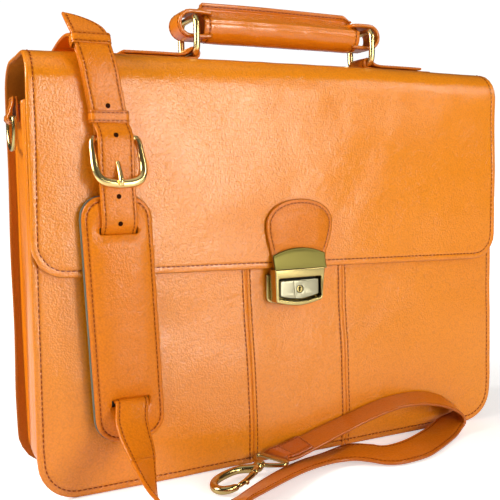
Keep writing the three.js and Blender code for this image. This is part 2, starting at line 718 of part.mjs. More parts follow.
// x is given before the lean
const LONG_FRONT = [
  [-155.8, -54.7, 288.5], [-154.6, -54.9, 276], [-153.6, -55.2, 271], [-152.2, -60.2, 264.5],
  [LONG_X, -60.3, 258], [LONG_X, -60.3, 240], [LONG_X, -60.2, 222], [LONG_X, -60.0, 201.9],
  [LONG_X, -57.5, 195.8], [LONG_X, -53.0, 193], [LONG_X, -51.8, 187.4], [LONG_X, -51.9, 76.2],
  [LONG_X, -52.6, 71.6], [LONG_X, -56, 68.8], [LONG_X, -59, 67.2], [LONG_X, -62.8, 63.4],
  [LONG_X, -70, 56.2], [LONG_X, -78.5, 48.2], [LONG_X, -84.4, 42.2],
];

function longFront() {
  const through = [-70, -50];
  return cut(
    levelStrap(LONG_FRONT.map(([x, y, z]) => [x + leanAt(z), y, z])),
    // slot for the prong, rounded at its lower end
    rodY(PRONG_X, 240, 2.1, through, 10),
    box(around(PRONG_X, 2.1), through, [240, 256]),
    // one round hole above the buckle and one below the slot
    rodY(-155.2, 283, 1.7, through, 8),
    rodY(LONG_X + leanAt(219), 219, 1.5, through, 8),
  );
}

add('strap_long_top', levelStrap(LONG_TOP), tanLeather);
add('strap_long_front', longFront(), tanLeather);

// ---------------------------------------------------------------- keepers round both layers
function keeper(centreX, [y0, y1], zRange) {
  const outline = roundedRect(around(centreX, STRAP_W / 2 + 2.6), [y0, y1], 1.4);
  const [x0, x1] = around(centreX, STRAP_W / 2 + 1.3);
  const opening = polygonHole([[x0, y0 + 1.1], [x0, y1 - 0.8], [x1, y1 - 0.8], [x1, y0 + 1.1]]);
  return alongZ(withHoles(outline, opening), zRange, 3);
}

add('keeper_lower', keeper(-155.0, [-58.2, -47.9], [276, 284.6]), darkLeather);
const upperKeeper = add('keeper_upper', keeper(0, [-5.2, 4.8], [-4.5, 4.5]), darkLeather);
upperKeeper.position.set(-159.5, -48.5, 327.5);
upperKeeper.rotation.set(-0.364, 0, 0);

// ---------------------------------------------------------------- shoulder pad
const PAD_X = -152;
const PAD_W = 51.5;
const PAD_LOW = 41.8;
const PAD_HIGH = 219.6;
const PAD_CORNER = 17;
const PAD_SLOTS_Z = [195.0, 70.0];   // slots the strap threads through

const padShape = (inset) => roundedRect(
  around(PAD_X, PAD_W / 2 - inset), [PAD_LOW + inset, PAD_HIGH - inset], PAD_CORNER - inset,
);

const padSlots = PAD_SLOTS_Z.map((z) => box(around(LONG_X, 14), [-60, -50], around(z, 5)));
const padFace = cut(alongY(padShape(0), [-57.2, -53.9], 6), ...padSlots);
add('pad_face', leaning(padFace), tanLeather);
add('pad_backing', leaning(alongY(padShape(1.2), [-50.0, -48.0], 6)), stiffBacking);

// ---------------------------------------------------------------- strap end on the floor
// short link where the strap bends just below the pad
const LINK = [
  [LONG_X + 6.9, -88.2, 38.8], [LONG_X + 6.8, -93, 36.1], [LONG_X + 6.6, -97.3, 34.5],
];
// loop on the floor, from the link to the front snap hook:
// x, y, z of one edge, then x, y, z of the other
const TAIL = [
  [-157.9, -101.6, 33.4, -132.3, -101.3, 32.4], [-157.7, -109.5, 34.2, -135.1, -103.8, 29.6],
  [-157.7, -121, 35.2, -140.4, -107.5, 26.4], [-158.0, -134, 34.4, -145.4, -117, 22],
  [-158.4, -147, 33.4, -149.6, -131, 15.6], [-155.6, -156.5, 33, -150.2, -143.5, 10.6],
  [-145, -168, 31, -142, -160, 6.5], [-126, -171, 28, -125.5, -160, 4.6],
  [-107, -158, 21, -109.5, -142, 3.6], [-86.1, -133.5, 14.5, -96, -112, 3.2],
  [-69.9, -121.3, 12.1, -82.4, -102, 2.6], [-53.5, -111.5, 10.7, -66.5, -91, 2.5],
  [-36, -101.1, 9.1, -48, -79.8, 2.5], [-18.5, -92.3, 7.7, -28.2, -69.5, 2.5],
  [-1.5, -86.5, 6.6, -7.2, -62, 2.8], [14, -84.4, 5.8, 14.5, -58.5, 3.6],
  [27, -87.1, 5.5, 36, -63, 9], [36.8, -94.6, 5, 51.2, -73.7, 9.6],
  [47.5, -100.5, 2.9, 58.1, -77.5, 8.6], [59.8, -104.4, 2.2, 63.6, -79.6, 8.6],
  [75, -104.5, 2.2, 72.4, -79.5, 8.8], [93, -100.9, 2.2, 84.8, -77.5, 9.4],
  [115.9, -90.2, 2.3, 104.3, -67.8, 8.4], [140.1, -76.9, 3.2, 126, -56.4, 7.7],
  [152, -70, 7, 143.5, -48, 9.2], [156, -68.2, 12, 161, -46.6, 12],
  [154.5, -68.4, 17.4, 165.5, -46.6, 16.4], [147.5, -68.8, 22.5, 158, -46.6, 23],
  [136, -69.6, 27.8, 147, -46.4, 30.5], [122, -70.6, 32, 131, -46.4, 36],
  [109.7, -71, 34.8, 112, -46.2, 38], [85.6, -71.2, 35.8, 86, -46.2, 36.8],
  [57.7, -71.4, 31, 57.7, -46.2, 31], [30.4, -71.4, 23.7, 30.4, -46.2, 24.2],
  [10.7, -71.4, 17.7, 10.7, -46.2, 19], [-8.4, -71.4, 12, -8.4, -46.4, 13.4],
  [-16.5, -71.2, 9.8, -20.4, -46.6, 10.6], [-23.4, -70.8, 8.9, -33.2, -46.8, 9.1],
];
const tailEdges = TAIL.map((row) => [vec(...row.slice(0, 3)), vec(...row.slice(3))]);

add('strap_link', levelStrap(LINK), tanLeather);
add('strap_tail', strap(tailEdges), tanLeather);

// ---------------------------------------------------------------- snap hooks
// local frame: +X along the hook away from the strap, Y across, Z through its thickness
// eye: x, y
const HOOK_EYE = [
  [0, -13], [0, 0], [0, 13], [1.5, 15], [5, 15], [12.5, 5], [14, 0], [12.5, -5], [5, -15],
  [1.5, -15],
];
// the others: x, y, wire radius
const HOOK_BODY = [
  [16.4, 0, 3.6], [19, 0, 4.2], [22, 0, 3.6], [25, -2.5, 3.2], [29, -7.5, 2.9],
  [36, -10, 2.7], [46, -10.8, 2.7], [56, -9.4, 2.8], [63, -4.5, 2.9], [66, 1, 2.9],
  [64.5, 6.2, 2.8], [60, 9.4, 2.6], [55, 10.6, 2.4],
];
const HOOK_STUB = [[21, 0, 3.2], [25, 3.0, 2.9], [28, 4.6, 2.5]];
const HOOK_GATE = [[31.4, 6.0, 2.3], [35, 7.2, 2.3], [44, 9.0, 2.0], [51.9, 10.4, 2.0]];

const levelPoints = (rows) => rows.map(([x, y]) => vec(x, y, 0));
const taperedWire = (rows, sides) =>
  wire(levelPoints(rows), rows.map(([, , radius]) => radius), { sides });

function addHook(number) {
  const group = new THREE.Group();
  model.add(group);
  const eye = wire(levelPoints(HOOK_EYE), 1.7, { closed: true });
  const body = join(taperedWire(HOOK_BODY, 10), taperedWire(HOOK_STUB, 8));
  add(`hook${number}_eye`, eye, brass, group);
  add(`hook${number}_body`, body, brass, group);
  add(`hook${number}_gate`, taperedWire(HOOK_GATE, 8), brass, group);
  return group;
}

// the front hook lies at the end of the strap's loop on the floor
const frontHook = addHook(1);
const FRONT_HOOK_PITCH = 0.062;
const FRONT_HOOK_YAW = Math.atan2(-0.377, -0.926);
frontHook.position.set(-31.8, -60.2, 8.8);
frontHook.rotation.set(0, FRONT_HOOK_PITCH, FRONT_HOOK_YAW, 'ZYX');

// the rear hook hangs from the short end of the strap
const rearHook = addHook(2);
rearHook.position.set(-160, 59, 209.6);
rearHook.quaternion.setFromRotationMatrix(
  new THREE.Matrix4().makeBasis(vec(0, 0, -1), vec(1, 0, 0), vec(0, -1, 0)),
);

export default model;
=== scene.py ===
"""A leather briefcase with a front flap, push lock, rolled handle and padded shoulder strap.

X runs across the case, Y from the front (-Y) to the rear (+Y) and Z up; the case stands on
z = 0, with x = 0 near its middle. Lengths are in millimetres and meshes are scaled to metres.
"""

import json
import math
from types import SimpleNamespace

import bmesh
import bpy
import numpy as np
from mathutils import Matrix, Vector


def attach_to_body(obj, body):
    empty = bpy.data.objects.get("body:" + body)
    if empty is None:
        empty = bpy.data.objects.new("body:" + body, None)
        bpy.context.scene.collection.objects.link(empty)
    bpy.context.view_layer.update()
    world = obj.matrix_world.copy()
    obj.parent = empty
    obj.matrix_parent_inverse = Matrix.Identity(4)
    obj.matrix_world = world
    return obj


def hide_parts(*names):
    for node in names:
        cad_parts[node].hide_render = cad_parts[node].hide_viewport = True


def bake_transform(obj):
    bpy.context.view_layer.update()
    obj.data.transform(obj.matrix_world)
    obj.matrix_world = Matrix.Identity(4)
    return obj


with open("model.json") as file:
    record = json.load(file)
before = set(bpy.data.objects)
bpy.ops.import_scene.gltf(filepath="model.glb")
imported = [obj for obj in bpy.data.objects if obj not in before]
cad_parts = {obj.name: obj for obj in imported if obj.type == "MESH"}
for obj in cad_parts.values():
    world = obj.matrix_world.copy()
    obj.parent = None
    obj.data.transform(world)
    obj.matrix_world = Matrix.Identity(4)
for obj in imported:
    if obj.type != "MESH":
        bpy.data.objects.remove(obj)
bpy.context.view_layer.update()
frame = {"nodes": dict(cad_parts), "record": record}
NODES = frame["nodes"]
MM = 0.001
RNG = np.random.default_rng(11)
PI = math.pi


# ------------------------------------------------------------------ node helpers
class Nodes:
    """Short ways to fill a shader tree; a value may be a number or another node's output."""

    def __init__(self, tree):
        self.tree = tree
        tree.nodes.clear()

    def put(self, socket, value):
        if isinstance(value, bpy.types.NodeSocket):
            self.tree.links.new(value, socket)
        else:
            socket.default_value = value

    def fill(self, node, inputs):
        for key, value in inputs.items():
            self.put(node.inputs[key], value)

    def add(self, kind, inputs=None, **settings):
        node = self.tree.nodes.new(kind)
        for key, value in settings.items():
            setattr(node, key, value)
        self.fill(node, inputs or {})
        return node

    def calc(self, operation, first, second=0.0, *third, clamp=False):
        values = dict(enumerate((first, second, *third)))
        return self.add("ShaderNodeMath", values, operation=operation, use_clamp=clamp).outputs[0]

    def plus(self, first, second):
        return self.calc("ADD", first, second)

    def times(self, first, second):
        return self.calc("MULTIPLY", first, second)

    def scale_add(self, value, factor, offset, clamp=False):
        return self.calc("MULTIPLY_ADD", value, factor, offset, clamp=clamp)


class Material(Nodes):
    """A material with one Principled shader."""

    def __init__(self, name):
        self.material = bpy.data.materials.new(name)
        self.material.use_nodes = True
        super().__init__(self.material.node_tree)
        output = self.add("ShaderNodeOutputMaterial")
        self.shader = self.add("ShaderNodeBsdfPrincipled")
        self.put(output.inputs[0], self.shader.outputs[0])

    def position(self):
        coords = self.add("ShaderNodeTexCoord")
        return self.add("ShaderNodeMapping", {0: coords.outputs["Object"]}).outputs[0]

    def mix(self, factor, first, second, blend="MIX"):
        return self.add("ShaderNodeMix", {0: factor, 6: first, 7: second},
                        data_type="RGBA", blend_type=blend).outputs[2]

    def noise(self, place, scale, detail=3.0, rough=0.5, distortion=0.0):
        return self.add("ShaderNodeTexNoise", {
            "Vector": place, "Scale": scale, "Detail": detail, "Roughness": rough,
            "Distortion": distortion}).outputs[0]

    def voronoi(self, place, scale, feature):
        return self.add("ShaderNodeTexVoronoi", {"Vector": place, "Scale": scale},
                        feature=feature).outputs["Distance"]

    def attribute(self, name):
        return self.add("ShaderNodeAttribute", attribute_name=name).outputs["Fac"]

    def bump(self, height, strength, distance):
        return self.add("ShaderNodeBump", {
            "Strength": strength, "Distance": distance, "Height": height}).outputs[0]


def rgba(colour):
    return (*colour, 1.0)


# ------------------------------------------------------------------ materials
def leather(name, base, light, deep, rough=0.36, grain=1.0, coat=0.85, crease=1.0,
            specular=0.10, shade_lift=None):
    """Pebbled hide. deep colours the edges, and is painted shade in the gaps between the pebbles
    and in the stitch grooves; the last argument tints the colour where the attribute of the same
    name is set, lifting a painted shade.
    """
    m = Material(name)
    base, light, deep = rgba(base), rgba(light), rgba(deep)
    place = m.position()
    warp = m.noise(place, 140, detail=2).node.outputs["Color"]
    warped = m.add("ShaderNodeVectorMath", {0: warp, 1: (0.0022,) * 3, 2: place},
                   operation="MULTIPLY_ADD").outputs[0]
    pebble = m.voronoi(warped, 760, "SMOOTH_F1")
    small_pebble = m.voronoi(warped, 1500, "F1")
    fine = m.noise(place, 2600, detail=2)
    wrinkle = m.noise(place, 55, detail=5, rough=0.6, distortion=1.4)
    broad = m.noise(place, 7, detail=3, rough=0.5, distortion=0.3)
    patch = m.noise(place, 28, detail=4, rough=0.55)
    # pebbles are raised, the gaps between them low; the grain fades in and out over the hide
    raised = m.times(m.calc("SUBTRACT", 0.75, pebble), 1.15)
    small_raised = m.times(m.calc("SUBTRACT", 0.6, small_pebble), 0.45)
    amount = m.scale_add(patch, 1.0, 0.35)
    height = m.times(m.plus(raised, small_raised), amount)
    height = m.plus(height, m.times(fine, 0.10))
    creases = m.calc("POWER", m.calc("ABSOLUTE", m.scale_add(wrinkle, 2.0, -1.0)), 0.55)
    height = m.plus(height, m.times(creases, 0.42 * crease))
    groove = m.attribute("groove")
    edge = m.attribute("edge")
    surface = m.bump(height, strength=0.85 * grain, distance=0.00023)
    swell_height = m.plus(m.noise(place, 16, detail=2), m.times(m.noise(place, 45, detail=2), 0.25))
    swell = m.bump(swell_height, strength=0.35, distance=0.004)
    m.put(surface.node.inputs["Normal"], swell)
    colour = m.mix(m.scale_add(broad, 1.6, -0.3, clamp=True), base, light)
    colour = m.mix(m.scale_add(patch, 0.9, -0.25, clamp=True), colour, base)
    # painted shade: the gaps between the pebbles are darkened
    gap = m.times(m.scale_add(pebble, 1.5, -0.35, clamp=True), 0.34 * grain)
    colour = m.mix(gap, colour, deep)
    # painted shade: the pressed-in stitch grooves are darkened
    colour = m.mix(m.times(groove, 0.42), colour, deep)
    colour = m.mix(m.times(edge, 0.30), colour, deep)
    # lifts a painted shade back towards the base colour where the attribute is set
    if shade_lift:
        colour = m.mix(m.attribute("shade_lift"), colour, rgba(shade_lift), blend="MULTIPLY")
    roughness = m.scale_add(m.noise(place, 34, detail=4), 0.16, rough - 0.08)
    roughness = m.plus(roughness, m.times(pebble, 0.06))
    m.fill(m.shader, {
        "Base Color": colour, "Roughness": roughness, "Normal": surface,
        "Specular IOR Level": specular, "Specular Tint": (1.0, 0.72, 0.42, 1),
        "Coat Weight": coat, "Coat Roughness": 0.15, "Coat IOR": 1.62, "Coat Normal": surface})
    return m.material


def metal(name, colour, rough):
    m = Material(name)
    m.fill(m.shader, {"Base Color": rgba(colour), "Metallic": 1.0, "Roughness": rough})
    return m.material


def solid(name, colour, rough, specular):
    m = Material(name)
    m.fill(m.shader, {"Base Color": rgba(colour), "Roughness": rough,
                      "Specular IOR Level": specular})
    return m.material


def fabric(name, colour, rough, bump, scale):
    """Matt surface whose colour and relief follow one fine noise."""
    m = Material(name)
    noise = m.noise(m.position(), scale, detail=4, rough=0.6)
    dark = rgba([x * 0.72 for x in colour])
    m.fill(m.shader, {
        "Base Color": m.mix(m.scale_add(noise, 1.2, -0.2, clamp=True), dark, rgba(colour)),
        "Roughness": rough, "Metallic": 0.0,
        "Normal": m.bump(noise, strength=bump, distance=0.0004)})
    return m.material


TAN = leather("leather_tan", base=(0.80, 0.242, 0.004), light=(0.86, 0.278, 0.006),
              deep=(0.36, 0.060, 0.002), crease=0.45)
STRAP = leather("leather_strap", base=(0.70, 0.188, 0.004), light=(0.78, 0.225, 0.006),
                deep=(0.24, 0.034, 0.003), grain=0.9, coat=0.34, crease=2.0, specular=0.12)
# painted shade: the same strap leather made darker for the part of the strap that hangs down and
# lies on the floor
SHADED_TAIL_LEATHER = leather(
    "leather_strap_floor_shaded", base=(0.52, 0.122, 0.004), light=(0.60, 0.150, 0.006),
    deep=(0.18, 0.024, 0.002), rough=0.34, grain=0.8, coat=0.5, crease=1.2, specular=0.14,
    shade_lift=(1.346, 1.541, 1.0))
HANDLE = leather("leather_handle", base=(0.70, 0.185, 0.004), light=(0.78, 0.22, 0.006),
                 deep=(0.22, 0.030, 0.003), rough=0.24, grain=0.5, coat=0.9, crease=0.8)
STRAP_END = leather("leather_strap_end", base=(0.46, 0.090, 0.008), light=(0.54, 0.120, 0.011),
                    deep=(0.13, 0.014, 0.003), rough=0.26, grain=0.7, coat=0.5)
EDGE = leather("leather_edge", base=(0.68, 0.182, 0.005), light=(0.76, 0.215, 0.007),
               deep=(0.24, 0.038, 0.003), grain=0.55)
INNER = leather("leather_inside", base=(0.42, 0.115, 0.008), light=(0.50, 0.14, 0.012),
                deep=(0.14, 0.026, 0.004), rough=0.5, grain=0.5, coat=0.1)
SUEDE = fabric("leather_suede", (0.42, 0.22, 0.09), rough=0.95, bump=0.4, scale=1500)
THREAD = solid("thread", (0.25, 0.046, 0.004), rough=0.95, specular=0.05)
BACKING = fabric("pad_backing", (0.13, 0.155, 0.115), rough=0.75, bump=0.5, scale=1300)
CLOTH = fabric("lining_cloth", (0.16, 0.10, 0.05), rough=0.9, bump=0.4, scale=2200)
BRASS = metal("brass_antique", (0.50, 0.40, 0.16), rough=0.22)
POLISHED = metal("brass_polished", (0.52, 0.41, 0.165), rough=0.19)
SATIN_GOLD = metal("brass_satin_gold", (0.86, 0.66, 0.27), rough=0.25)
OLIVE = metal("brass_lock", (0.145, 0.125, 0.033), rough=0.34)
CHAMPAGNE = metal("brass_champagne", (0.42, 0.395, 0.27), rough=0.34)
STEEL = metal("steel", (0.5, 0.5, 0.5), rough=0.3)
# painted shade: near-black for the inside of the strap's buckle holes
HOLE_SHADE = solid("strap_hole_shade", (0.030, 0.008, 0.003), rough=1.0, specular=0.0)
# painted shade: near-black for the shaded gap round the push plate and the inside of the key slot
GAP_SHADE = solid("lock_gap_shade", (0.012, 0.011, 0.010), rough=0.5, specular=0.2)


# ------------------------------------------------------------------ curves and outlines
def ease(t):
    """Smooth step from 0 to 1."""
    t = np.clip(t, 0, 1)
    return t * t * (3 - 2 * t)


def hill(x, z, centre_x, centre_z, spread_x, spread_z):
    return np.exp(-((x - centre_x) / spread_x) ** 2 - ((z - centre_z) / spread_z) ** 2)


def undulate(x, z, seed, size):
    """Soft uneven surface, about -1 to 1."""
    draw = np.random.default_rng(seed)
    out = 0.0
    for k in range(9):
        wave = size / (1 + 0.45 * k)
        turn = draw.uniform(0, 2 * PI)
        phase = (x * math.cos(turn) + z * math.sin(turn)) * 2 * PI / wave
        out = out + np.sin(phase + draw.uniform(0, 2 * PI)) / (1 + 0.55 * k)
    return out / 2.6


def unit(vectors):
    return vectors / np.linalg.norm(vectors, axis=-1)[..., None]


def run_lengths(points):
    """Distance along a polyline at each of its points."""
    return np.r_[0, np.cumsum(np.linalg.norm(np.diff(points, axis=0), axis=1))]


def interpolate(at, run, rows):
    """The columns of rows, given at distances run, read off at other distances."""
    return np.stack([np.interp(at, run, rows[:, k]) for k in range(rows.shape[1])], -1)


def line_distance(points, lines):
    """Distance of each flat point to the nearest of several open polylines."""
    points = np.asarray(points, float).reshape(-1, 2)
    best = np.full(len(points), 1e9)
    for line in lines:
        line = np.asarray(line, float)
        start, step = line[:-1], np.diff(line, axis=0)
        squared = np.maximum((step ** 2).sum(1), 1e-12)
        for k in range(0, len(points), 3000):       # in blocks, to save memory
            block = points[k:k + 3000, None, :]
            t = np.clip(((block - start) * step).sum(2) / squared, 0, 1)
            gap = np.sqrt(((block - start - t[..., None] * step) ** 2).sum(2)).min(1)
            best[k:k + 3000] = np.minimum(best[k:k + 3000], gap)
    return best


def resample(line, step, closed=False):
    line = np.asarray(line, float)
    if closed:
        line = np.vstack([line, line[:1]])
    run = run_lengths(line)
    keep = np.r_[True, np.diff(run) > 1e-9]
    line, run = line[keep], run[keep]
    at = np.linspace(0, run[-1], max(2, int(round(run[-1] / step))) + 1)
    return interpolate(at[:-1] if closed else at, run, line)


def smooth_curve(points, step, closed=False):
    """Catmull-Rom curve through the rows, about step apart in their first three columns."""
    points = np.asarray(points, float)
    count = len(points)
    out = []
    for i in range(count if closed else count - 1):
        p1, p2 = points[i], points[(i + 1) % count]
        p0 = points[i - 1] if (closed or i > 0) else 2 * p1 - p2
        p3 = points[(i + 2) % count] if (closed or i + 2 < count) else 2 * p2 - p1
        pieces = max(1, int(math.ceil(np.linalg.norm((p2 - p1)[:3]) / step)))
        t = (np.arange(pieces) / pieces)[:, None]
        out.append(0.5 * (2 * p1 + (p2 - p0) * t + (2 * p0 - 5 * p1 + 4 * p2 - p3) * t ** 2
                          + (3 * p1 - p0 - 3 * p2 + p3) * t ** 3))
    if not closed:
        out.append(points[-1:])
    return np.vstack(out)


def inset(line, gap, side):
    """Open flat polyline moved sideways by gap; side 1 is to its left."""
    line = resample(line, 1.0)
    tangent = np.gradient(line, axis=0)
    tangent /= np.maximum(np.linalg.norm(tangent, axis=1), 1e-9)[:, None]
    moved = line + side * np.stack([-tangent[:, 1], tangent[:, 0]], 1) * gap
    return moved[line_distance(moved, [line]) > gap - 0.06]


def rounded_rect(x0, z0, x1, z1, radius, segments):
    points = []
    corners = [(x1 - radius, z1 - radius, 0), (x0 + radius, z1 - radius, 90),
               (x0 + radius, z0 + radius, 180), (x1 - radius, z0 + radius, 270)]
    for x, z, first in corners:
        for k in range(segments + 1):
            angle = math.radians(first + 90 * k / segments)
            points.append((x + radius * math.cos(angle), z + radius * math.sin(angle)))
    return points


def circle(x, z, radius):
    return [(x + radius * math.cos(2 * PI * k / 28), z + radius * math.sin(2 * PI * k / 28))
            for k in range(28)]


def arc(x, z, radius, degrees):
    return [(x + radius * math.cos(math.radians(t)), z + radius * math.sin(math.radians(t)))
            for t in degrees]


def corner_in(offset, radius):
    """How far a rounded corner draws the side in, at an offset from the end."""
    offset = np.clip(offset, 0, radius)
    return radius - np.sqrt(np.maximum(radius * radius - (radius - offset) ** 2, 0))


# ------------------------------------------------------------------ mesh helpers
# mesh lines at these distances from an edge: large parts, straps, and straps' cut ends
EDGE_STEPS = [0, .12, .35, .7, 1.2, 2.0, 3.0, 3.9, 4.5, 5.0, 5.5, 6.1, 7.0, 9.0, 12.0, 17.0]
STRAP_STEPS = [0, .12, .35, .7, 1.15, 1.7, 2.15, 2.55, 2.95, 3.4, 4.2, 5.6]
END_STEPS = [0, .12, .35, .7, 1.15, 1.8, 2.6]


def link(name, mesh):
    obj = bpy.data.objects.new(name, mesh)
    bpy.context.scene.collection.objects.link(obj)
    return obj


def add_mesh(name, points, faces, *materials, attributes=None, face_materials=None):
    mesh = bpy.data.meshes.new(name)
    mesh.from_pydata((np.asarray(points, float) * MM).tolist(), [],
                     [tuple(int(i) for i in face) for face in faces])
    for material in materials:
        mesh.materials.append(material)
    if face_materials is not None:
        mesh.polygons.foreach_set("material_index", np.asarray(face_materials, np.int32))
    mesh.polygons.foreach_set("use_smooth", np.full(len(mesh.polygons), True))
    for key, values in (attributes or {}).items():
        set_attribute(mesh, key, values)
    mesh.update()
    return link(name, mesh)


def set_attribute(mesh, name, values):
    attribute = mesh.attributes.new(name, "FLOAT", "POINT")
    attribute.data.foreach_set("value", np.asarray(values, np.float32).ravel())


def spread(length, offsets, step):
    """Positions along a length, dense at both ends."""
    count = max(2, int(round((length - 2 * offsets[-1]) / step)))
    middle = np.linspace(offsets[-1], length - offsets[-1], count + 1)[1:-1]
    return np.r_[offsets, middle, [length - o for o in offsets[::-1]]]


def columns(low, high, offsets, spans, anchors=()):
    """Positions across each row: dense at both ends and round the anchors (place, offsets)."""
    low, high = np.asarray(low, float), np.asarray(high, float)
    fit = np.minimum(1, (high - low) / (2.05 * offsets[-1]))
    fractions = np.linspace(0, 1, spans + 1)[1:-1]
    cols = [low + fit * o for o in offsets]
    last = cols[-1]
    for place, near in anchors:
        start = place - near[-1]
        cols += [last + (start - last) * t for t in fractions]
        cols += [place - o for o in near[::-1]] + [place + o for o in near[1:]]
        last = place + near[-1]
    end = high - fit * offsets[-1]
    cols += [last + (end - last) * t for t in fractions]
    cols += [high - fit * o for o in offsets[::-1]]
    return np.stack(cols, 1)


def u_outline(half, along_left, along_right):
    """Down the left side and up the right of a part whose rows are counted from its free end."""
    left, right = np.stack([-half, along_left], 1), np.stack([half, along_right], 1)
    return np.vstack([left[::-1], right])


def normals(surface, across, along, flip, reach=0.25):
    du = surface(across + reach, along) - surface(across - reach, along)
    dv = surface(across, along + reach) - surface(across, along - reach)
    normal = np.cross(du, dv) * flip
    return normal / np.maximum(np.linalg.norm(normal, axis=-1), 1e-9)[..., None]


def sheet(name, surface, across, along, thickness, materials, edges, flip, rounding=1.2,
          stitches=(), groove_depth=0.28, groove_width=0.75):
    """Thick leather over a flat grid.

    surface maps flat positions to space; flip -1 turns its outside round. edges are the true
    edges, which are rounded, and stitches the sewn lines, which are pressed in. materials
    are those of the outside and the inside.
    """
    across, along = np.broadcast_arrays(across, along)
    shape = across.shape
    flat = np.stack([across.ravel(), along.ravel()], 1)
    edge_gap = line_distance(flat, edges).reshape(shape)
    points = surface(across, along)
    normal = normals(surface, across, along, flip)
    rounding = min(rounding, thickness * 0.48)
    sink = corner_in(edge_gap, rounding)
    groove = np.zeros(shape)
    if len(stitches):
        groove = np.exp(-(line_distance(flat, stitches).reshape(shape) / groove_width) ** 2)
    outer = points - normal * (sink + groove_depth * groove)[..., None]
    inner = points - normal * (thickness - sink)[..., None]
    count = across.size
    index = np.arange(count).reshape(shape)
    quads = np.stack([index[:-1, :-1], index[:-1, 1:], index[1:, 1:], index[1:, :-1]], -1)
    quads = quads.reshape(-1, 4)
    loop = np.r_[index[0, :], index[1:, -1], index[-1, -2::-1], index[-2:0:-1, 0]]
    following = np.roll(loop, -1)
    rim = np.stack([following, loop, loop + count, following + count], 1)
    if flip < 0:
        quads, rim = quads[:, ::-1], rim[:, ::-1]
    edge = np.exp(-np.maximum(edge_gap - 0.2, 0) / 1.1).ravel()
    return add_mesh(
        name, np.vstack([outer.reshape(-1, 3), inner.reshape(-1, 3)]),
        np.vstack([quads, quads[:, ::-1] + count, rim]), *materials,
        attributes={"groove": np.r_[groove.ravel(), np.zeros(count)], "edge": np.r_[edge, edge]},
        face_materials=np.r_[np.zeros(len(quads)), np.ones(len(quads)), np.zeros(len(rim))])


def tube_faces(rings, sides, closed=False, first=0):
    faces = []
    for i in range(rings if closed else rings - 1):
        here, there = first + i * sides, first + ((i + 1) % rings) * sides
        for j in range(sides):
            k = (j + 1) % sides
            faces.append((here + j, here + k, there + k, there + j))
    if not closed:
        end = first + (rings - 1) * sides
        faces.append(tuple(range(first, first + sides))[::-1])
        faces.append(tuple(range(end, end + sides)))
    return faces


# rings of one stitch: place along its length, share of the radius, height
STITCH_RINGS = [(-0.5, 0.12, -0.42), (-0.38, 0.78, -0.05), (-0.15, 1.0, 0.16),
                (0.15, 1.0, 0.16), (0.38, 0.78, -0.05), (0.5, 0.12, -0.42)]
STITCH_SIDES = 6


def thread_mesh(name, surface, lines, flip, pitch=3.9, length=2.85, radius=0.40, sink=0.06):
    """One small rounded thread for every stitch along flat lines on a surface."""
    rings, faces, base = [], [], 0
    angle = (np.arange(STITCH_SIDES) / STITCH_SIDES * 2 * PI)[:, None]
    for line in lines:
        line = resample(line, 1.0)
        across, along = line[:, 0], line[:, 1]
        line_normals = normals(surface, across, along, flip)
        points = surface(across, along)
        run = run_lengths(points)
        count = max(1, int(round(run[-1] / pitch)))
        fitted = run[-1] / count
        stitch = length * fitted / pitch
        for centre in (np.arange(count) + 0.5) * fitted:
            twist = RNG.normal(0, 0.035)
            normal = interpolate(centre, run, line_normals)
            normal = normal / max(np.linalg.norm(normal), 1e-9)
            tangent = (interpolate(min(centre + 0.6, run[-1]), run, points)
                       - interpolate(max(centre - 0.6, 0), run, points))
            tangent = tangent / max(np.linalg.norm(tangent), 1e-9)
            side = np.cross(normal, tangent)
            for place, share, height in STITCH_RINGS:
                at = np.clip(centre + place * stitch, 0, run[-1])
                middle = interpolate(at, run, points) + side * (place * stitch * twist)
                rings.append(middle + normal * (height * radius * 1.2 - sink) + radius * share
                             * (np.cos(angle) * side + 0.8 * np.sin(angle) * normal))
            faces += tube_faces(len(STITCH_RINGS), STITCH_SIDES, first=base)
            base += len(STITCH_RINGS) * STITCH_SIDES
    return add_mesh(name, np.vstack(rings), faces, THREAD)


def wire(name, points, radius, material, sides, step, closed=False, flat=1.0):
    """Round wire through the points; the radius may vary, and flat stretches the section."""
    points = np.asarray(points, float)
    radius = np.broadcast_to(np.asarray(radius, float), (len(points),))
    stations = smooth_curve(np.hstack([points, radius[:, None]]), step, closed)
    centre, radius = stations[:, :3], np.maximum(stations[:, 3], 0.05)
    count = len(centre)
    if closed:
        tangent = np.roll(centre, -1, 0) - np.roll(centre, 1, 0)
    else:
        tangent = np.gradient(centre, axis=0)
    tangent /= np.linalg.norm(tangent, axis=1)[:, None]
    up = np.cross(tangent[0], [0.3, 0.2, 1.0])
    ups = []
    for direction in tangent:
        up = up - direction * (up @ direction)
        up = up / np.linalg.norm(up)
        ups.append(up)
    ups = np.array(ups)
    side = np.cross(tangent, ups)
    turn = np.zeros(count)
    if closed:
        # spread the twist that is left over
        end = ups[-1] - tangent[0] * (ups[-1] @ tangent[0])
        end /= np.linalg.norm(end)
        twist = math.atan2(np.dot(np.cross(end, ups[0]), tangent[0]), np.dot(end, ups[0]))
        turn = np.linspace(0, twist, count, endpoint=False)
    angle = ((np.arange(sides) / sides * 2 * PI)[None] + turn[:, None])[..., None]
    rings = centre[:, None] + radius[:, None, None] * (
        np.cos(angle) * ups[:, None] + flat * np.sin(angle) * side[:, None])
    return add_mesh(name, rings.reshape(-1, 3), tube_faces(count, sides, closed), material)


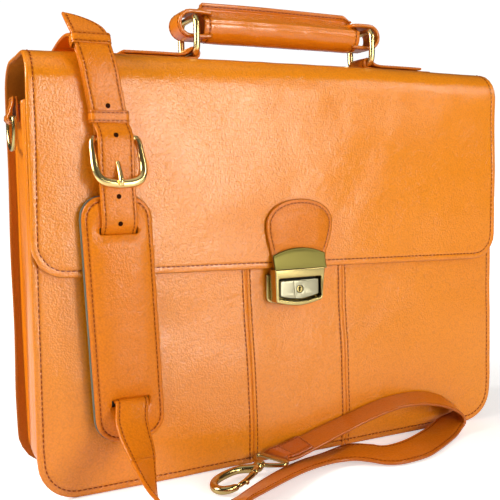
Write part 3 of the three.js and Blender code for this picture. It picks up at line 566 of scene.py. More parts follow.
def plate(name, outline, front, back, material, bevel, holes=(), resolution=3):
    """Plate between two y values from an outline of (x, z) points, with rounded edges."""
    curve = bpy.data.curves.new(name, "CURVE")
    curve.dimensions = "2D"
    curve.fill_mode = "BOTH"
    for loop in [outline, *(hole[::-1] for hole in holes)]:
        spline = curve.splines.new("POLY")
        spline.points.add(len(loop) - 1)
        for point, (x, z) in zip(spline.points, loop):
            point.co = (x * MM, z * MM, 0, 1)
        spline.use_cyclic_u = True
    half = abs(back - front) / 2
    bevel = min(bevel, half * 0.95)
    curve.extrude = (half - bevel) * MM
    curve.bevel_depth = bevel * MM
    curve.bevel_resolution = resolution
    curve.offset = -bevel * MM
    source = link(name + "_tmp", curve)
    graph = bpy.context.evaluated_depsgraph_get()
    mesh = bpy.data.meshes.new_from_object(source.evaluated_get(graph))
    bpy.data.objects.remove(source)
    # the curve lies in XY: turn it so that Y becomes Z
    middle = (front + back) / 2 * MM
    mesh.transform(Matrix(((1, 0, 0, 0), (0, 0, -1, middle), (0, 1, 0, 0), (0, 0, 0, 1))))
    bm = bmesh.new()
    bm.from_mesh(mesh)
    bmesh.ops.remove_doubles(bm, verts=bm.verts, dist=1e-7)
    bmesh.ops.recalc_face_normals(bm, faces=bm.faces)
    bm.to_mesh(mesh)
    bm.free()
    mesh.materials.clear()
    mesh.materials.append(material)
    for polygon in mesh.polygons:
        polygon.use_smooth = True
    mesh.name = name
    obj = link(name, mesh)
    mesh.set_sharp_from_angle(angle=math.radians(32))
    return obj


def bevelled_box(low, high, bevel):
    mesh = bpy.data.meshes.new("box")
    bm = bmesh.new()
    bmesh.ops.create_cube(bm, size=1)
    for vert in bm.verts:
        vert.co = [(a + b) / 2 * MM + v * (b - a) * MM for a, b, v in zip(low, high, vert.co)]
    bmesh.ops.bevel(bm, geom=bm.edges[:], offset=bevel * MM, segments=3, affect="EDGES",
                    profile=0.5)
    bm.to_mesh(mesh)
    bm.free()
    return link("box", mesh)


def cut(obj, cutters):
    """Subtract the cutters and remove them."""
    for cutter in cutters:
        modifier = obj.modifiers.new("cut", "BOOLEAN")
        modifier.operation = "DIFFERENCE"
        modifier.solver = "EXACT"
        modifier.object = cutter
        graph = bpy.context.evaluated_depsgraph_get()
        mesh = bpy.data.meshes.new_from_object(obj.evaluated_get(graph))
        obj.modifiers.clear()
        old = obj.data
        obj.data = mesh
        bpy.data.meshes.remove(old)
        bpy.data.objects.remove(cutter)


def attach(obj, body, *nodes, slot=None):
    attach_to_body(obj, body)
    if nodes:
        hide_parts(*nodes)


def attach_sewn(leather_and_thread, body, *nodes, slot=None):
    """Attach a leather part and its thread."""
    part, thread = leather_and_thread
    attach(part, body, *nodes, slot=slot)
    attach(thread, body)


def blend(objects, first, second, start, end):
    for obj in objects:
        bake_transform(obj)


# ------------------------------------------------------------------ rear panel and flap
FOLD_R = 22.0                           # bends at the front and rear of the top
TOP_Z = 322.4
FLAP_Y, REAR_Y = -47.6, 42.0
BEND_Z = TOP_Z - FOLD_R
FRONT_RUN, REAR_RUN = -FLAP_Y - FOLD_R, REAR_Y - FOLD_R
BEND_RUN = FOLD_R * PI / 2
FOLD_END = FRONT_RUN + BEND_RUN         # from the middle of the top to the end of the fold
EDGE_STITCH = 5.0


def top_crown(x):
    return 1.1 * (1 - (np.asarray(x) / 205.0) ** 2) - 0.3


def flap_profile(along):
    """y and z at a distance from the middle of the top, positive towards the front."""
    distance = np.abs(along)
    run = np.where(along >= 0, FRONT_RUN, REAR_RUN)
    sign = np.where(along >= 0, -1.0, 1.0)
    t = np.clip((distance - run) / FOLD_R, 0, PI / 2)
    y = sign * (np.minimum(distance, run) + FOLD_R * np.sin(t))
    z = BEND_Z + FOLD_R * np.cos(t) - np.maximum(distance - run - BEND_RUN, 0)
    return y, z


def flap_map(across, along):
    y, z = flap_profile(along)
    x = across + 0.35 * np.sin(z / 23.0 + across) * ease((np.abs(across) - 195) / 10)
    topness = ease((z - BEND_Z) / 18)
    z = z + top_crown(across) * topness
    # the front face is soft and fuller lower down, but calm under the strap and the tongue
    front = ease((along - FRONT_RUN - 8) / 30)
    soft = undulate(across, z, 3, 150) * 0.75 + undulate(across, z, 5, 60) * 0.22
    calm = np.maximum(hill(across, z, -152, 230, 34, 120), hill(across, z, -3, 180, 44, 40))
    soft = np.where(soft > 0, soft * (1 - np.clip(calm * 1.6, 0, 1)), soft)
    full = (ease((z - 165) / 60) * ease((290 - z) / 60)
            * (1 - (across / 212) ** 4) * (1 - np.clip(calm * 1.4, 0, 1)))
    y = y - front * (soft + full)
    rear = ease((-along - REAR_RUN - 8) / 30)
    y = y + rear * (undulate(across, z, 9, 160) * 0.6
                    + 0.8 * ease(z / 60) * ease((300 - z) / 60) * (1 - (across / 214) ** 4))
    z = z + topness * 0.35 * undulate(across, y, 21, 80)
    return np.stack([x, y, z], -1)


# rear: up the back and over to the middle of the top, where it meets the flap without an edge
REAR_L = REAR_RUN + BEND_RUN + (BEND_Z - 0.4)
REAR_CORNER = 28


def rear_half(offset):
    """Half width at a distance from the lower edge."""
    half = np.interp(offset, [0, 60, 230, 320, REAR_L], [210.2, 211.2, 209.8, 208.6, 208.0])
    return half - corner_in(offset, REAR_CORNER)


offsets = spread(REAR_L, EDGE_STEPS, 7)
half = rear_half(offsets)
outline_offsets = np.r_[np.linspace(0, REAR_CORNER, 40), np.linspace(30, REAR_L, 120)]
outline_along = -(REAR_L - outline_offsets)
rear_edge = u_outline(rear_half(outline_offsets), outline_along, outline_along)
rear_stitch = inset(rear_edge, EDGE_STITCH, side=1)
rear_panel = sheet("leather_back", flap_map, columns(-half, half, EDGE_STEPS, 46),
                   -(REAR_L - offsets)[:, None], 3.2, [TAN, INNER], [rear_edge], flip=-1,
                   stitches=[rear_stitch])
rear_thread = thread_mesh("stitch_back", flap_map, [rear_stitch], -1)

# flap: from the middle of the top, over the fold and down to the sloping lower edge
FLAP_L = FOLD_END + BEND_Z - 158.0      # at mid width
FLAP_CORNER = 24


def flap_half(offset):
    half = np.interp(FLAP_L - offset, [0, FOLD_END, FLAP_L], [208.0, 208.8, 210.2])
    return half - corner_in(offset, FLAP_CORNER)


def flap_along(offset, x):
    """Distance from the middle of the top; rows follow the sloping lower edge."""
    edge_z = 162.8 + (153.2 - 162.8) * (x + 210) / 420
    share = ease((FLAP_L - offset - FOLD_END) / (FLAP_L - FOLD_END))
    return (FLAP_L - offset) + share * (FOLD_END + BEND_Z - edge_z - FLAP_L)


offsets = np.r_[FLAP_L, FLAP_L - np.arange(6, FLAP_L - 22, 6.0), EDGE_STEPS]
offsets = np.unique(np.round(offsets, 4))[::-1]
half = flap_half(offsets)
across = columns(-half, half, EDGE_STEPS, 52)
outline_offsets = np.r_[np.linspace(0, FLAP_CORNER, 40), np.linspace(26, FLAP_L, 110)]
half = flap_half(outline_offsets)
flap_edge = u_outline(half, flap_along(outline_offsets, -half), flap_along(outline_offsets, half))
flap_stitch = inset(flap_edge, EDGE_STITCH, side=-1)
flap = sheet("leather_flap", flap_map, across, flap_along(offsets[:, None], across), 3.6,
             [TAN, INNER], [flap_edge], flip=-1, stitches=[flap_stitch], rounding=1.5)
flap_thread = thread_mesh("stitch_flap", flap_map, [flap_stitch], -1)

# ------------------------------------------------------------------ front panel
PANEL_H, PANEL_Z, PANEL_Y = 286, 0.4, -42.0
PANEL_CORNER = 28
SEAM_STITCH = 3.4
SEAM_STEPS = [0, .3, .6, 1.0, 1.5, 2.0, 2.6, 3.0, 3.4, 3.8, 4.4, 5.6, 8.0]


def seam_x(side, z):
    return -40.0 - 7.6 * z / PANEL_H if side < 0 else 47.4 - 4.4 * z / PANEL_H


def panel_half(offset):
    half = np.interp(offset, [0, 40, 170, PANEL_H], [209.6, 211.4, 210.2, 209.6])
    return half - corner_in(offset, PANEL_CORNER)


def panel_map(x, z):
    calm = 1 - np.clip(hill(x, z, -3, 148, 40, 34) * 1.8, 0, 1)      # flat behind the lock
    y = (PANEL_Y - 2.6 * ease(z / 36) * ease((132 - z) / 60)
         * (1 - (np.abs(x) / 211) ** 5) * calm)
    y = y - ((0.55 * undulate(x, z, 31, 120) + 0.16 * undulate(x, z, 33, 42))
             * ease((150 - z) / 30) * calm)
    for side in (-1, 1):
        gap = (x - seam_x(side, z)) * side          # positive outside the centre panel
        # the centre panel's edge lies on top: a small ridge, then a groove
        y = (y - 0.75 * np.exp(-((gap + 1.9) / 1.5) ** 2)
             + 1.0 * np.exp(-((gap - 0.2) / 0.55) ** 2)
             - 0.35 * np.exp(-((gap - 2.4) / 1.6) ** 2))
        # pull of the stitches
        y = y + (0.10 * np.sin(z * 2 * PI / 3.9)
                 * np.exp(-((np.abs(gap) - SEAM_STITCH) / 1.2) ** 2))
    return np.stack([x, y, z], -1)


offsets = np.r_[EDGE_STEPS, np.arange(22, PANEL_H - 6, 5.0),
                PANEL_H - np.array([5, 3, 1.5, .6, 0])]
half = panel_half(offsets)
across = columns(-half, half, EDGE_STEPS, 24,
                 [(seam_x(side, offsets), SEAM_STEPS) for side in (-1, 1)])
outline_offsets = np.r_[np.linspace(0, PANEL_CORNER, 40), np.linspace(30, PANEL_H, 110)]
outline_z = outline_offsets + PANEL_Z
panel_edge = u_outline(panel_half(outline_offsets), outline_z, outline_z)
seam_z = np.linspace(3, 284, 200)
panel_stitches = [inset(panel_edge, EDGE_STITCH, side=1)]
panel_stitches += [np.stack([seam_x(side, seam_z) + k * SEAM_STITCH, seam_z], 1)
                   for side in (-1, 1) for k in (-1, 1)]
panel = sheet("leather_front", panel_map, across, (PANEL_Z + offsets)[:, None], 3.0,
              [TAN, INNER], [panel_edge], flip=1, stitches=panel_stitches, rounding=1.3)
panel_thread = thread_mesh("stitch_front", panel_map, panel_stitches, 1)

# ------------------------------------------------------------------ bellows
# one sheet from the top of one side, along the bottom and up the other, pleated at the sides
BELLOWS_X, BELLOWS_Z, BELLOWS_R = 208.0, 0.7, 26.0
BELLOWS_HALF_Y = 38.9
# pleat section: y, depth inwards
PLEATS = smooth_curve([
    (-BELLOWS_HALF_Y, 4.5), (-36.8, 2.0), (-35.0, 1.0), (-33.2, 2.2), (-31.8, 7.4), (-30.6, 3.2),
    (-29.2, 0.9), (-27.4, 0.4), (-25.6, 1.4), (-24.2, 7.8), (-22.9, 3.0), (-21.4, 0.8),
    (-19.4, 0.3), (-17.2, 1.2), (-15.0, 6.4), (-12.0, 8.2), (-8, 7.6), (-2, 5.6), (8, 3.8),
    (20, 3.4), (30, 4.6), (35.5, 5.4), (BELLOWS_HALF_Y, 4.0)], 0.9)
SIDE_RUN = 288.0 - BELLOWS_Z - BELLOWS_R
CORNER_RUN = BELLOWS_R * PI / 2
BELLOWS_L = 2 * SIDE_RUN + 2 * CORNER_RUN + 2 * (BELLOWS_X - BELLOWS_R)


def bellows_map(y, along):
    first_half = along < BELLOWS_L / 2
    run = np.where(first_half, along, BELLOWS_L - along)
    sign = np.where(first_half, -1.0, 1.0)
    t = np.clip((run - SIDE_RUN) / BELLOWS_R, 0, PI / 2)
    x = (-BELLOWS_X + BELLOWS_R - BELLOWS_R * np.cos(t)
         + np.maximum(run - SIDE_RUN - CORNER_RUN, 0))
    z = BELLOWS_Z + BELLOWS_R - BELLOWS_R * np.sin(t) + np.maximum(SIDE_RUN - run, 0)
    depth = np.interp(y, PLEATS[:, 0], PLEATS[:, 1])
    bottom = 0.3 + 0.5 * (y / BELLOWS_HALF_Y) ** 6
    share = ease((run - SIDE_RUN - 2) / (CORNER_RUN + 8))
    depth = depth * (1 + 0.10 * np.sin(z / 37.0 + y * 0.2)) * (1 - share) + bottom * share
    # the pleats open a little towards the top
    depth = depth - 0.5 * ease((z - 220) / 70) * np.exp(-((y + 22) / 9) ** 2) * (1 - share)
    return np.stack([-sign * (x + np.cos(t) * depth), y * (1 + 0.004 * np.sin(z / 50)),
                     z + np.sin(t) * depth], -1)


pleat_y = np.interp(np.linspace(0, 1, 92), np.linspace(0, 1, len(PLEATS)), PLEATS[:, 0])
rows = np.r_[[0, .3, .8, 1.6], np.arange(5, SIDE_RUN, 6),
             np.linspace(SIDE_RUN, SIDE_RUN + CORNER_RUN, 14),
             np.arange(SIDE_RUN + CORNER_RUN + 10, BELLOWS_L / 2, 12)]
rows = np.r_[rows, (BELLOWS_L - rows)[::-1]]
bellows_ends = [[(-BELLOWS_HALF_Y, end), (BELLOWS_HALF_Y, end)] for end in (0, BELLOWS_L)]
bellows = sheet("leather_bellows", bellows_map, pleat_y, rows[:, None], 1.5, [EDGE, INNER],
                bellows_ends, flip=1, rounding=0.7)

blend((rear_panel, rear_thread), "case", "flap_top",
      start=(0, 0.042, 0.288), end=(0, 0.042, 0.308))
blend((flap, flap_thread), "flap_top", "flap_front",
      start=(0, -0.0476, 0.305), end=(0, -0.0476, 0.284))
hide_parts("back_panel", "flap_top")
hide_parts("flap_front")
attach_sewn((panel, panel_thread), "case", "front_panel_left", "front_panel_centre",
            "front_panel_right", slot="leather_tan")
attach(bellows, "case", "gusset_left", "gusset_right", "bottom_panel", slot="leather_edge")


# ------------------------------------------------------------------ straps
class Ribbon:
    """A band through pairs of edge points; out tells which way its outside faces at the start."""

    def __init__(self, pairs, width, thickness, crown, out, step):
        points = smooth_curve(np.asarray(pairs, float).reshape(-1, 6), step)
        first, second = points[:, :3], points[:, 3:]
        middle = (first + second) / 2
        run = run_lengths(middle)
        keep = np.r_[True, np.diff(run) > 1e-6]
        self.run, self.middle = run[keep], middle[keep]
        self.side = unit((second - first)[keep])
        tangent = (np.gradient(self.middle, axis=0)
                   / np.maximum(np.gradient(self.run), 1e-9)[:, None])
        self.normal = unit(np.cross(tangent, self.side))
        self.flip = -1.0
        if self.normal[0] @ np.asarray(out, float) < 0:
            self.normal = -self.normal
            self.flip = 1.0
        self.width, self.thickness, self.crown = width, thickness, crown
        self.length = self.run[-1]

    def get(self, rows, along):
        return interpolate(along, self.run, rows)

    def map(self, across, along):
        """across runs from -width / 2 to width / 2; beyond its ends the band goes on straight."""
        across, along = np.broadcast_arrays(across, along)
        inside = np.clip(along, 0, self.length)
        extra = (along - inside)[..., None]
        run, middle = self.run, self.middle
        before = (middle[1] - middle[0]) / max(run[1] - run[0], 1e-9)
        after = (middle[-1] - middle[-2]) / max(run[-1] - run[-2], 1e-9)
        centre = self.get(middle, inside) + np.where(extra < 0, extra * before, extra * after)
        side = unit(self.get(self.side, inside))
        normal = unit(self.get(self.normal, inside))
        height = (self.thickness / 2
                  + self.crown * np.maximum(1 - (2 * across / self.width) ** 2, 0))
        return centre + side * across[..., None] + normal * height[..., None]

    def nearest(self, point):
        gaps = np.linalg.norm(self.middle - np.asarray(point, float), axis=1)
        return float(self.run[int(np.argmin(gaps))])


TIP_L = 20


def tip_half(distance):
    """Half width of a strap at a distance from its pointed tip."""
    return 0.9 + 12.1 * np.sin(np.clip(distance / TIP_L, 0, 1) * PI / 2) ** 0.85


def strap(name, path, material, start=0, end=None, cut_ends=(True, True), inner=None,
          stitch=2.7, step=2.2, pointed=False, extra_stitches=()):
    """Leather and thread of a path from start to end.

    cut_ends tells which ends are real ones; pointed shapes the tip at the end.
    """
    end = path.length if end is None else end
    width, thickness, length = path.width, path.thickness, end - start
    first, last = (END_STEPS if is_cut else [0] for is_cut in cut_ends)
    rows = np.r_[first, np.linspace(first[-1], length - last[-1], int(length / step)),
                 length - np.array(last)]
    edge_rows = np.linspace(0, length, max(30, int(length / 2)))
    if pointed:
        rows = np.r_[rows, length - np.linspace(0, TIP_L, 16)]
        edge_rows = np.unique(np.r_[edge_rows, length - np.linspace(0, TIP_L, 40)])
    rows = np.unique(np.round(rows, 5))

    def half_at(row):
        if pointed:
            return np.minimum(width / 2, tip_half(length - row))
        return np.full(np.shape(row), width / 2)

    half = half_at(rows)
    across = columns(-half, half, STRAP_STEPS, max(2, int((width - 2 * STRAP_STEPS[-1]) / 3)))
    left, right = (np.stack([sign * half_at(edge_rows), edge_rows + start], 1)
                   for sign in (-1, 1))
    edges = [left, right]
    lines = []
    for is_cut, k in zip(cut_ends, (0, -1)):
        if is_cut:
            edges.append(np.vstack([left[k], right[k]]))
    for side, sign in ((left, -1), (right, 1)):
        line = side.copy()
        line[:, 0] = sign * np.maximum(np.abs(line[:, 0]) - stitch, 0)
        if cut_ends[0]:
            line = line[line[:, 1] > start + stitch]
        if cut_ends[1] or pointed:
            line = line[line[:, 1] < end - stitch]
        lines.append(line)
    left_line, right_line = lines
    for is_cut, k, row in ((cut_ends[1], -1, end - stitch), (cut_ends[0], 0, start + stitch)):
        if is_cut:
            lines.append(np.stack([np.linspace(left_line[k, 0], right_line[k, 0], 20),
                                   np.full(20, row)], 1))
    lines += extra_stitches
    part = sheet(name, path.map, across, (rows + start)[:, None], thickness,
                 [material, inner or material], edges, flip=path.flip, stitches=lines,
                 rounding=min(1.0, thickness * 0.45), groove_depth=0.22, groove_width=0.6)
    thread = thread_mesh(name + "_stitch", path.map, lines, path.flip, pitch=3.4, length=2.4,
                         radius=0.34, sink=0.10)
    return part, thread


def pairs_along_x(points, width):
    """Edge pairs of a band whose width lies along X."""
    return [((x - width / 2, y, z), (x + width / 2, y, z)) for x, y, z in points]


def pairs_along_y(points, y, width):
    """Edge pairs of a band through (x, z) points whose width lies along Y."""
    return [((x, y - width / 2, z), (x, y + width / 2, z)) for x, z in points]


STRAP_W, STRAP_T = 26.0, 2.6
BAR_X, BAR_Y, BAR_Z = -150.0, -53.4, 260.0      # buckle bar

# short end: from the rear hook over the flap, folded round the buckle bar
SHORT_POINTS = [
    (-160, 59.0, 211.0), (-160, 59.0, 222), (-160, 59.2, 240), (-160, 59.6, 258),
    (-160.2, 59.4, 272), (-160.6, 57.6, 284), (-161.2, 54.6, 294), (-162, 51.0, 303),
    (-163, 45.2, 312.5), (-164, 36, 320.5), (-164.6, 22, 326.5), (-165, 4, 330),
    (-165, -13, 332.3), (-164.6, -27, 333.2), (-164.2, -37, 332.2), (-163.4, -44.3, 328.4),
    (-162.4, -48.2, 321), (-160.6, -50.1, 313), (-158.9, -50.9, 303), (-157.4, -50.9, 294),
    (-156, -50.7, 285), (-154.0, -50.5, 276), (-152.2, -50.1, 269.5)]
SHORT_POINTS += [(BAR_X - 1, y, z) for y, z in arc(BAR_Y, BAR_Z, 3.9, np.linspace(25, -185, 9))]
short = Ribbon(pairs_along_x(SHORT_POINTS, STRAP_W), STRAP_W, STRAP_T, crown=0.45,
               out=(0, 1, 0), step=0.8)
top_index = np.argmin(np.abs(short.middle[:, 1] - 2) + np.abs(short.middle[:, 2] - 330) * 3)
short_top = short.run[int(top_index)]
short_rear = strap("strap_short_rear_top", short, STRAP, 0, short_top, (True, False))
short_front = strap("strap_short_top_front", short, STRAP, short_top, cut_ends=(False, True))
blend(short_rear, "case", "flap_top", start=(-0.16, 0.050, 0.286), end=(-0.16, 0.050, 0.312))
blend(short_front, "flap_top", "flap_front",
      start=(-0.158, -0.0505, 0.308), end=(-0.156, -0.0505, 0.284))
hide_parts("strap_short_rear", "strap_short_top")
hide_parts("strap_short_front")

# long end: tip above the flap, through the buckle, behind the pad, out of its lower slot, floor
LONG_X = -151.6


def lean(z):
    """Sideways drift of the strap and its pad below the buckle."""
    return np.maximum(0, 230 - np.asarray(z, float)) * 0.037


LONG_POINTS = [
    (-169.4, -33.6, 347.2), (-168.4, -37.0, 344.6), (-167.2, -41.2, 340.8),
    (-166.0, -45.2, 336.6), (-164.8, -48.2, 332.4), (-163.8, -50.7, 327.4),
    (-162.6, -52.8, 321.2), (-160.8, -54.3, 313.3), (-159.2, -55.0, 305), (-157.9, -55.1, 296),
    (-156.4, -55.0, 288), (-155.0, -55.0, 280), (-153.9, -55.1, 274), (-153.0, -55.8, 269),
    (-152.0, -58.6, 264.2), (LONG_X, -60.3, 259.5), (LONG_X, -60.6, 250), (LONG_X, -60.5, 238),
    (LONG_X, -60.4, 226), (LONG_X, -60.5, 214), (LONG_X, -60.6, 205), (LONG_X, -59.4, 199.2),
    (LONG_X, -55.4, 195.0), (LONG_X, -52.4, 190.6), (LONG_X, -51.9, 184), (LONG_X, -51.9, 150),
    (LONG_X, -51.9, 90), (LONG_X, -52.0, 77.5), (LONG_X, -53.6, 72.6)]
# the hanging end and its loop on the floor: both edge points of each station
TAIL = [
    [(-158.0, -59.0, 71.4), (-132.0, -56.6, 69.2)], [(-159.6, -63.6, 66.8), (-133.6, -59.6, 65.0)],
    [(-161.6, -70.5, 60.2), (-136.0, -65.5, 58)], [(-161.6, -81, 51.6), (-136.6, -73, 49.8)],
    [(-160.2, -92, 45.2), (-137.4, -81, 41.6)], [(-159.4, -103, 40.2), (-139.8, -88.6, 34.6)],
    [(-159.2, -114, 37.6), (-143.0, -97.5, 29.6)], [(-159.4, -125, 35.8), (-146.4, -108, 25.2)],
    [(-159.0, -140, 34.0), (-149.4, -121, 20.6)], [(-156, -155, 33), (-150.5, -140, 12.4)],
    [(-145, -168, 31), (-142, -160, 6.5)], [(-126, -171, 28), (-125.5, -160, 4.6)],
    [(-107, -158, 21), (-109.5, -142, 3.6)], [(-86.1, -133.5, 14.5), (-96, -112, 3.2)],
    [(-69.9, -121.3, 12.1), (-82.4, -102, 2.6)], [(-53.5, -111.5, 10.7), (-66.5, -91, 2.5)],
    [(-36, -101.1, 9.1), (-48, -79.8, 2.5)], [(-18.5, -92.3, 7.7), (-28.2, -69.5, 2.5)],
    [(-1.5, -86.5, 6.6), (-7.2, -62, 2.8)], [(14, -84.4, 5.8), (14.5, -58.5, 3.6)],
    [(27, -87.1, 5.5), (36, -63, 9)], [(36.8, -94.6, 5), (51.2, -73.7, 9.6)],
    [(47.5, -100.5, 2.9), (58.1, -77.5, 8.6)], [(59.8, -104.4, 2.2), (63.6, -79.6, 8.6)],
    [(75, -104.5, 2.2), (72.4, -79.5, 8.8)], [(93, -100.9, 2.2), (84.8, -77.5, 9.4)],
    [(115.9, -90.2, 2.3), (104.3, -67.8, 8.4)], [(140.1, -76.9, 3.2), (126, -56.4, 7.7)],
    [(152, -70, 7), (143.5, -48, 9.2)], [(156, -68.2, 12), (161, -46.6, 12)],
    [(154.5, -68.4, 17.4), (165.5, -46.6, 16.4)], [(147.5, -68.8, 22.5), (158, -46.6, 23)],
    [(136, -69.6, 27.8), (147, -46.4, 30.5)], [(122, -70.6, 32), (131, -46.4, 36)],
    [(109.7, -71, 34.8), (112, -46.2, 38)], [(85.6, -71.2, 35.8), (86, -46.2, 36.8)],
    [(57.7, -71.4, 31), (57.7, -46.2, 31)], [(30.4, -71.4, 23.7), (30.4, -46.2, 24.2)],
    [(10.7, -71.4, 17.7), (10.7, -46.2, 19)], [(-8.4, -71.4, 12), (-8.4, -46.4, 13.4)],
    [(-16.5, -71.2, 9.8), (-20.4, -46.6, 10.6)], [(-23.4, -70.8, 8.9), (-33.2, -46.8, 9.1)]]
leaning = [(x + float(lean(z)), y, z) for x, y, z in LONG_POINTS]
long = Ribbon(pairs_along_x(leaning, STRAP_W) + TAIL, STRAP_W, STRAP_T, crown=0.5,
              out=(0, -1, 0.2), step=0.8)
behind_pad = long.nearest((LONG_X + 3.0, -51.9, 150))
link_end = long.nearest((LONG_X + 2.6, -92.8, 39.6))


def tip_map(across, along):
    """The long strap run backwards, so that its tip is at the end; the point lies to one side."""
    across = across - 0.8 * (13 - np.minimum(13, tip_half(long.length - along)))
    return long.map(across, long.length - along)


backwards = SimpleNamespace(map=tip_map, flip=-long.flip, width=STRAP_W, thickness=STRAP_T)
long_top = strap("strap_long_top_front", backwards, STRAP, long.length - behind_pad, long.length,
                 (False, False), pointed=True)
long_pad = strap("strap_long_pad", long, STRAP, behind_pad, link_end, (False, False))
tail = strap("strap_tail", long, SHADED_TAIL_LEATHER, link_end, cut_ends=(False, True))
# painted shade: the hanging end starts with the colour of the strap above it and is painted darker
# towards the floor loop
tail_points = np.array([v.co[:] for v in tail[0].data.vertices])
shade_lift_share = np.clip((tail_points[:, 1] + 0.165) / 0.05, 0, 1)
set_attribute(tail[0].data, "shade_lift", np.where(tail_points[:, 0] < -0.130, shade_lift_share, 0.0))
blend(long_top, "flap_top", "flap_front",
      start=(-0.158, -0.0545, 0.310), end=(-0.156, -0.0545, 0.284))
blend(long_pad, "flap_front", "strap_link",
      start=(-0.149, -0.0770, 0.0496), end=(-0.149, -0.0905, 0.0385))
blend(tail, "strap_link", "strap_tail",
      start=(-0.149, -0.0945, 0.0372), end=(-0.149, -0.1070, 0.0318))
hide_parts("strap_long_top")
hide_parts("strap_long_front")
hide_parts("strap_link", "strap_tail")


def disc(name, centre, normal, radius, material, sides=20):
    """Flat disc just above a surface."""
    normal = normal / np.linalg.norm(normal)
    first = np.array([1.0, 0, 0])
    first = first - normal * (first @ normal)
    first /= np.linalg.norm(first)
    second = np.cross(normal, first)
    points = [centre + normal * 0.03]
    for k in range(sides):
        t = 2 * PI * k / sides
        points.append(points[0] + radius * (math.cos(t) * first + math.sin(t) * second))
    faces = [(0, 1 + k, 1 + (k + 1) % sides) for k in range(sides)]
    return add_mesh(name, points, faces, material)


# painted shade: dark discs stand for the shaded buckle holes at these heights, on the part above
# the pad
for k, z in enumerate((282.0, 261.4, 219.1, 200.4)):
    misses = np.abs(long.middle[:, 2] - z) + 1e3 * (long.run > behind_pad)
    along = long.run[int(np.argmin(misses))]
    hole = disc(f"strap_hole_shade_{k + 1}", long.map(np.array(0.0), along),
                long.get(long.normal, along), 1.75, HOLE_SHADE)
    attach(hole, "flap_front")


def fold_map(across, along):
    """The strap's end folded back over itself round the hook's eye and sewn down."""
    across, along = np.broadcast_arrays(across, along)
    centre = (long.get(long.middle, along)
              + across[..., None] * long.get(long.side, along))
    height = (STRAP_T / 2 + 2.0 - 1.6 * ease((along - (long.length - 3.0)) / 3.0)
              - 1.7 * ease((long.length - 27.0 - along) / 3.0))
    return centre - long.get(long.normal, along) * height[..., None]


fold = SimpleNamespace(map=fold_map, flip=-long.flip, width=STRAP_W - 1.6, thickness=1.9)
fold_line = np.stack([np.linspace(-9.5, 9.5, 20), np.full(20, long.length - 9.0)], 1)
attach_sewn(strap("strap_end_fold", fold, STRAP_END, long.length - 29.5, long.length,
                  (True, False), stitch=2.4, step=1.4, extra_stitches=[fold_line]), "strap_tail")


# ------------------------------------------------------------------ keepers
def keeper(name, centre, half_width, half_depth, height, tilt, body, node):
    """Leather band round both strap layers; the half sizes are those of its middle line."""
    path = rounded_rect(-half_width, -half_depth, half_width, half_depth, 1.7, 5)
    path = resample(path, 0.8, closed=True)
    # start at the middle of the rear side
    path = np.roll(path, -int(np.argmin(np.abs(path[:, 0]) + (path[:, 1] < 0) * 99)), 0)
    path = np.vstack([path, path[:1]])
    run = run_lengths(path)
    length = run[-1]
    tangent = np.gradient(path, axis=0)
    tangent /= np.linalg.norm(tangent, axis=1)[:, None]
    outward = np.stack([tangent[:, 1], -tangent[:, 0]], 1)
    cos, sin = math.cos(tilt), math.sin(tilt)

    def band_map(across, along):
        along = np.mod(along, length)
        lift = 0.65 + 0.25 * (1 - (2 * across / height) ** 2)
        x, y = (np.interp(along, run, path[:, k]) + np.interp(along, run, outward[:, k]) * lift
                for k in range(2))
        return np.stack([centre[0] + x, centre[1] + y * cos - across * sin,
                         centre[2] + y * sin + across * cos], -1)

    def rings(offset):
        round_band = np.linspace(0, length, 120)
        return [np.stack([np.full(120, k * offset), round_band], 1) for k in (-1, 1)]

    across = columns([-height / 2], [height / 2], [0, .12, .35, .7, 1.15, 1.7], 4)
    along = np.linspace(0, length, int(length) + 1)[:, None]
    stitches = rings(height / 2 - 1.6)
    band = sheet(name, band_map, across, along, 1.1, [STRAP, STRAP], rings(height / 2), flip=-1,
                 stitches=stitches, rounding=0.6, groove_depth=0.12)
    thread = thread_mesh(name + "_stitch", band_map, stitches, -1, pitch=3.2, length=2.2,
                         radius=0.28, sink=0.08)
    attach_sewn((band, thread), body, node, slot="leather_edge")


keeper("keeper_lower_band", (-154.1, -53.0, 274.6), STRAP_W / 2 + 0.3, 4.15, height=8.8,
       tilt=0.0, body="flap_front", node="keeper_lower")
keeper("keeper_upper_band", (-164.1, -48.3, 327.3), STRAP_W / 2 + 0.35, 4.2, height=9.0,
       tilt=-0.364, body="flap_top", node="keeper_upper")

# ------------------------------------------------------------------ buckle
BUCKLE_HALF, BUCKLE_LOW_Y, BUCKLE_LOW_Z = 17.2, -64.4, 228.6
# right half of the frame: distance in from its side, share of the way down, radius
FRAME_HALF = [
    (4.5, 0, 2.1), (1.7, 0.03, 2.2), (0.4, 0.13, 2.3), (0, 0.36, 2.45), (-0.2, 0.62, 2.65),
    (0.6, 0.78, 2.8), (2.8, 0.905, 3.0), (6.4, 0.975, 3.1), (11.5, 1.01, 3.1)]
right_half = [(BUCKLE_HALF - inward, t, radius) for inward, t, radius in FRAME_HALF]
left_half = [(-x, t, radius) for x, t, radius in right_half]
stations = [left_half[0], *right_half, (0, 1.02, 3.1), *left_half[:0:-1]]
frame_points = [(BAR_X - 0.2 + x + 0.9 * t, BAR_Y + (BUCKLE_LOW_Y - BAR_Y) * t,
                 BAR_Z + (BUCKLE_LOW_Z - BAR_Z) * t) for x, t, _ in stations]
attach(wire("buckle_frame_brass", frame_points, [station[2] for station in stations], SATIN_GOLD,
            sides=16, step=0.9, closed=True, flat=1.12), "buckle", "buckle_frame", slot="brass")
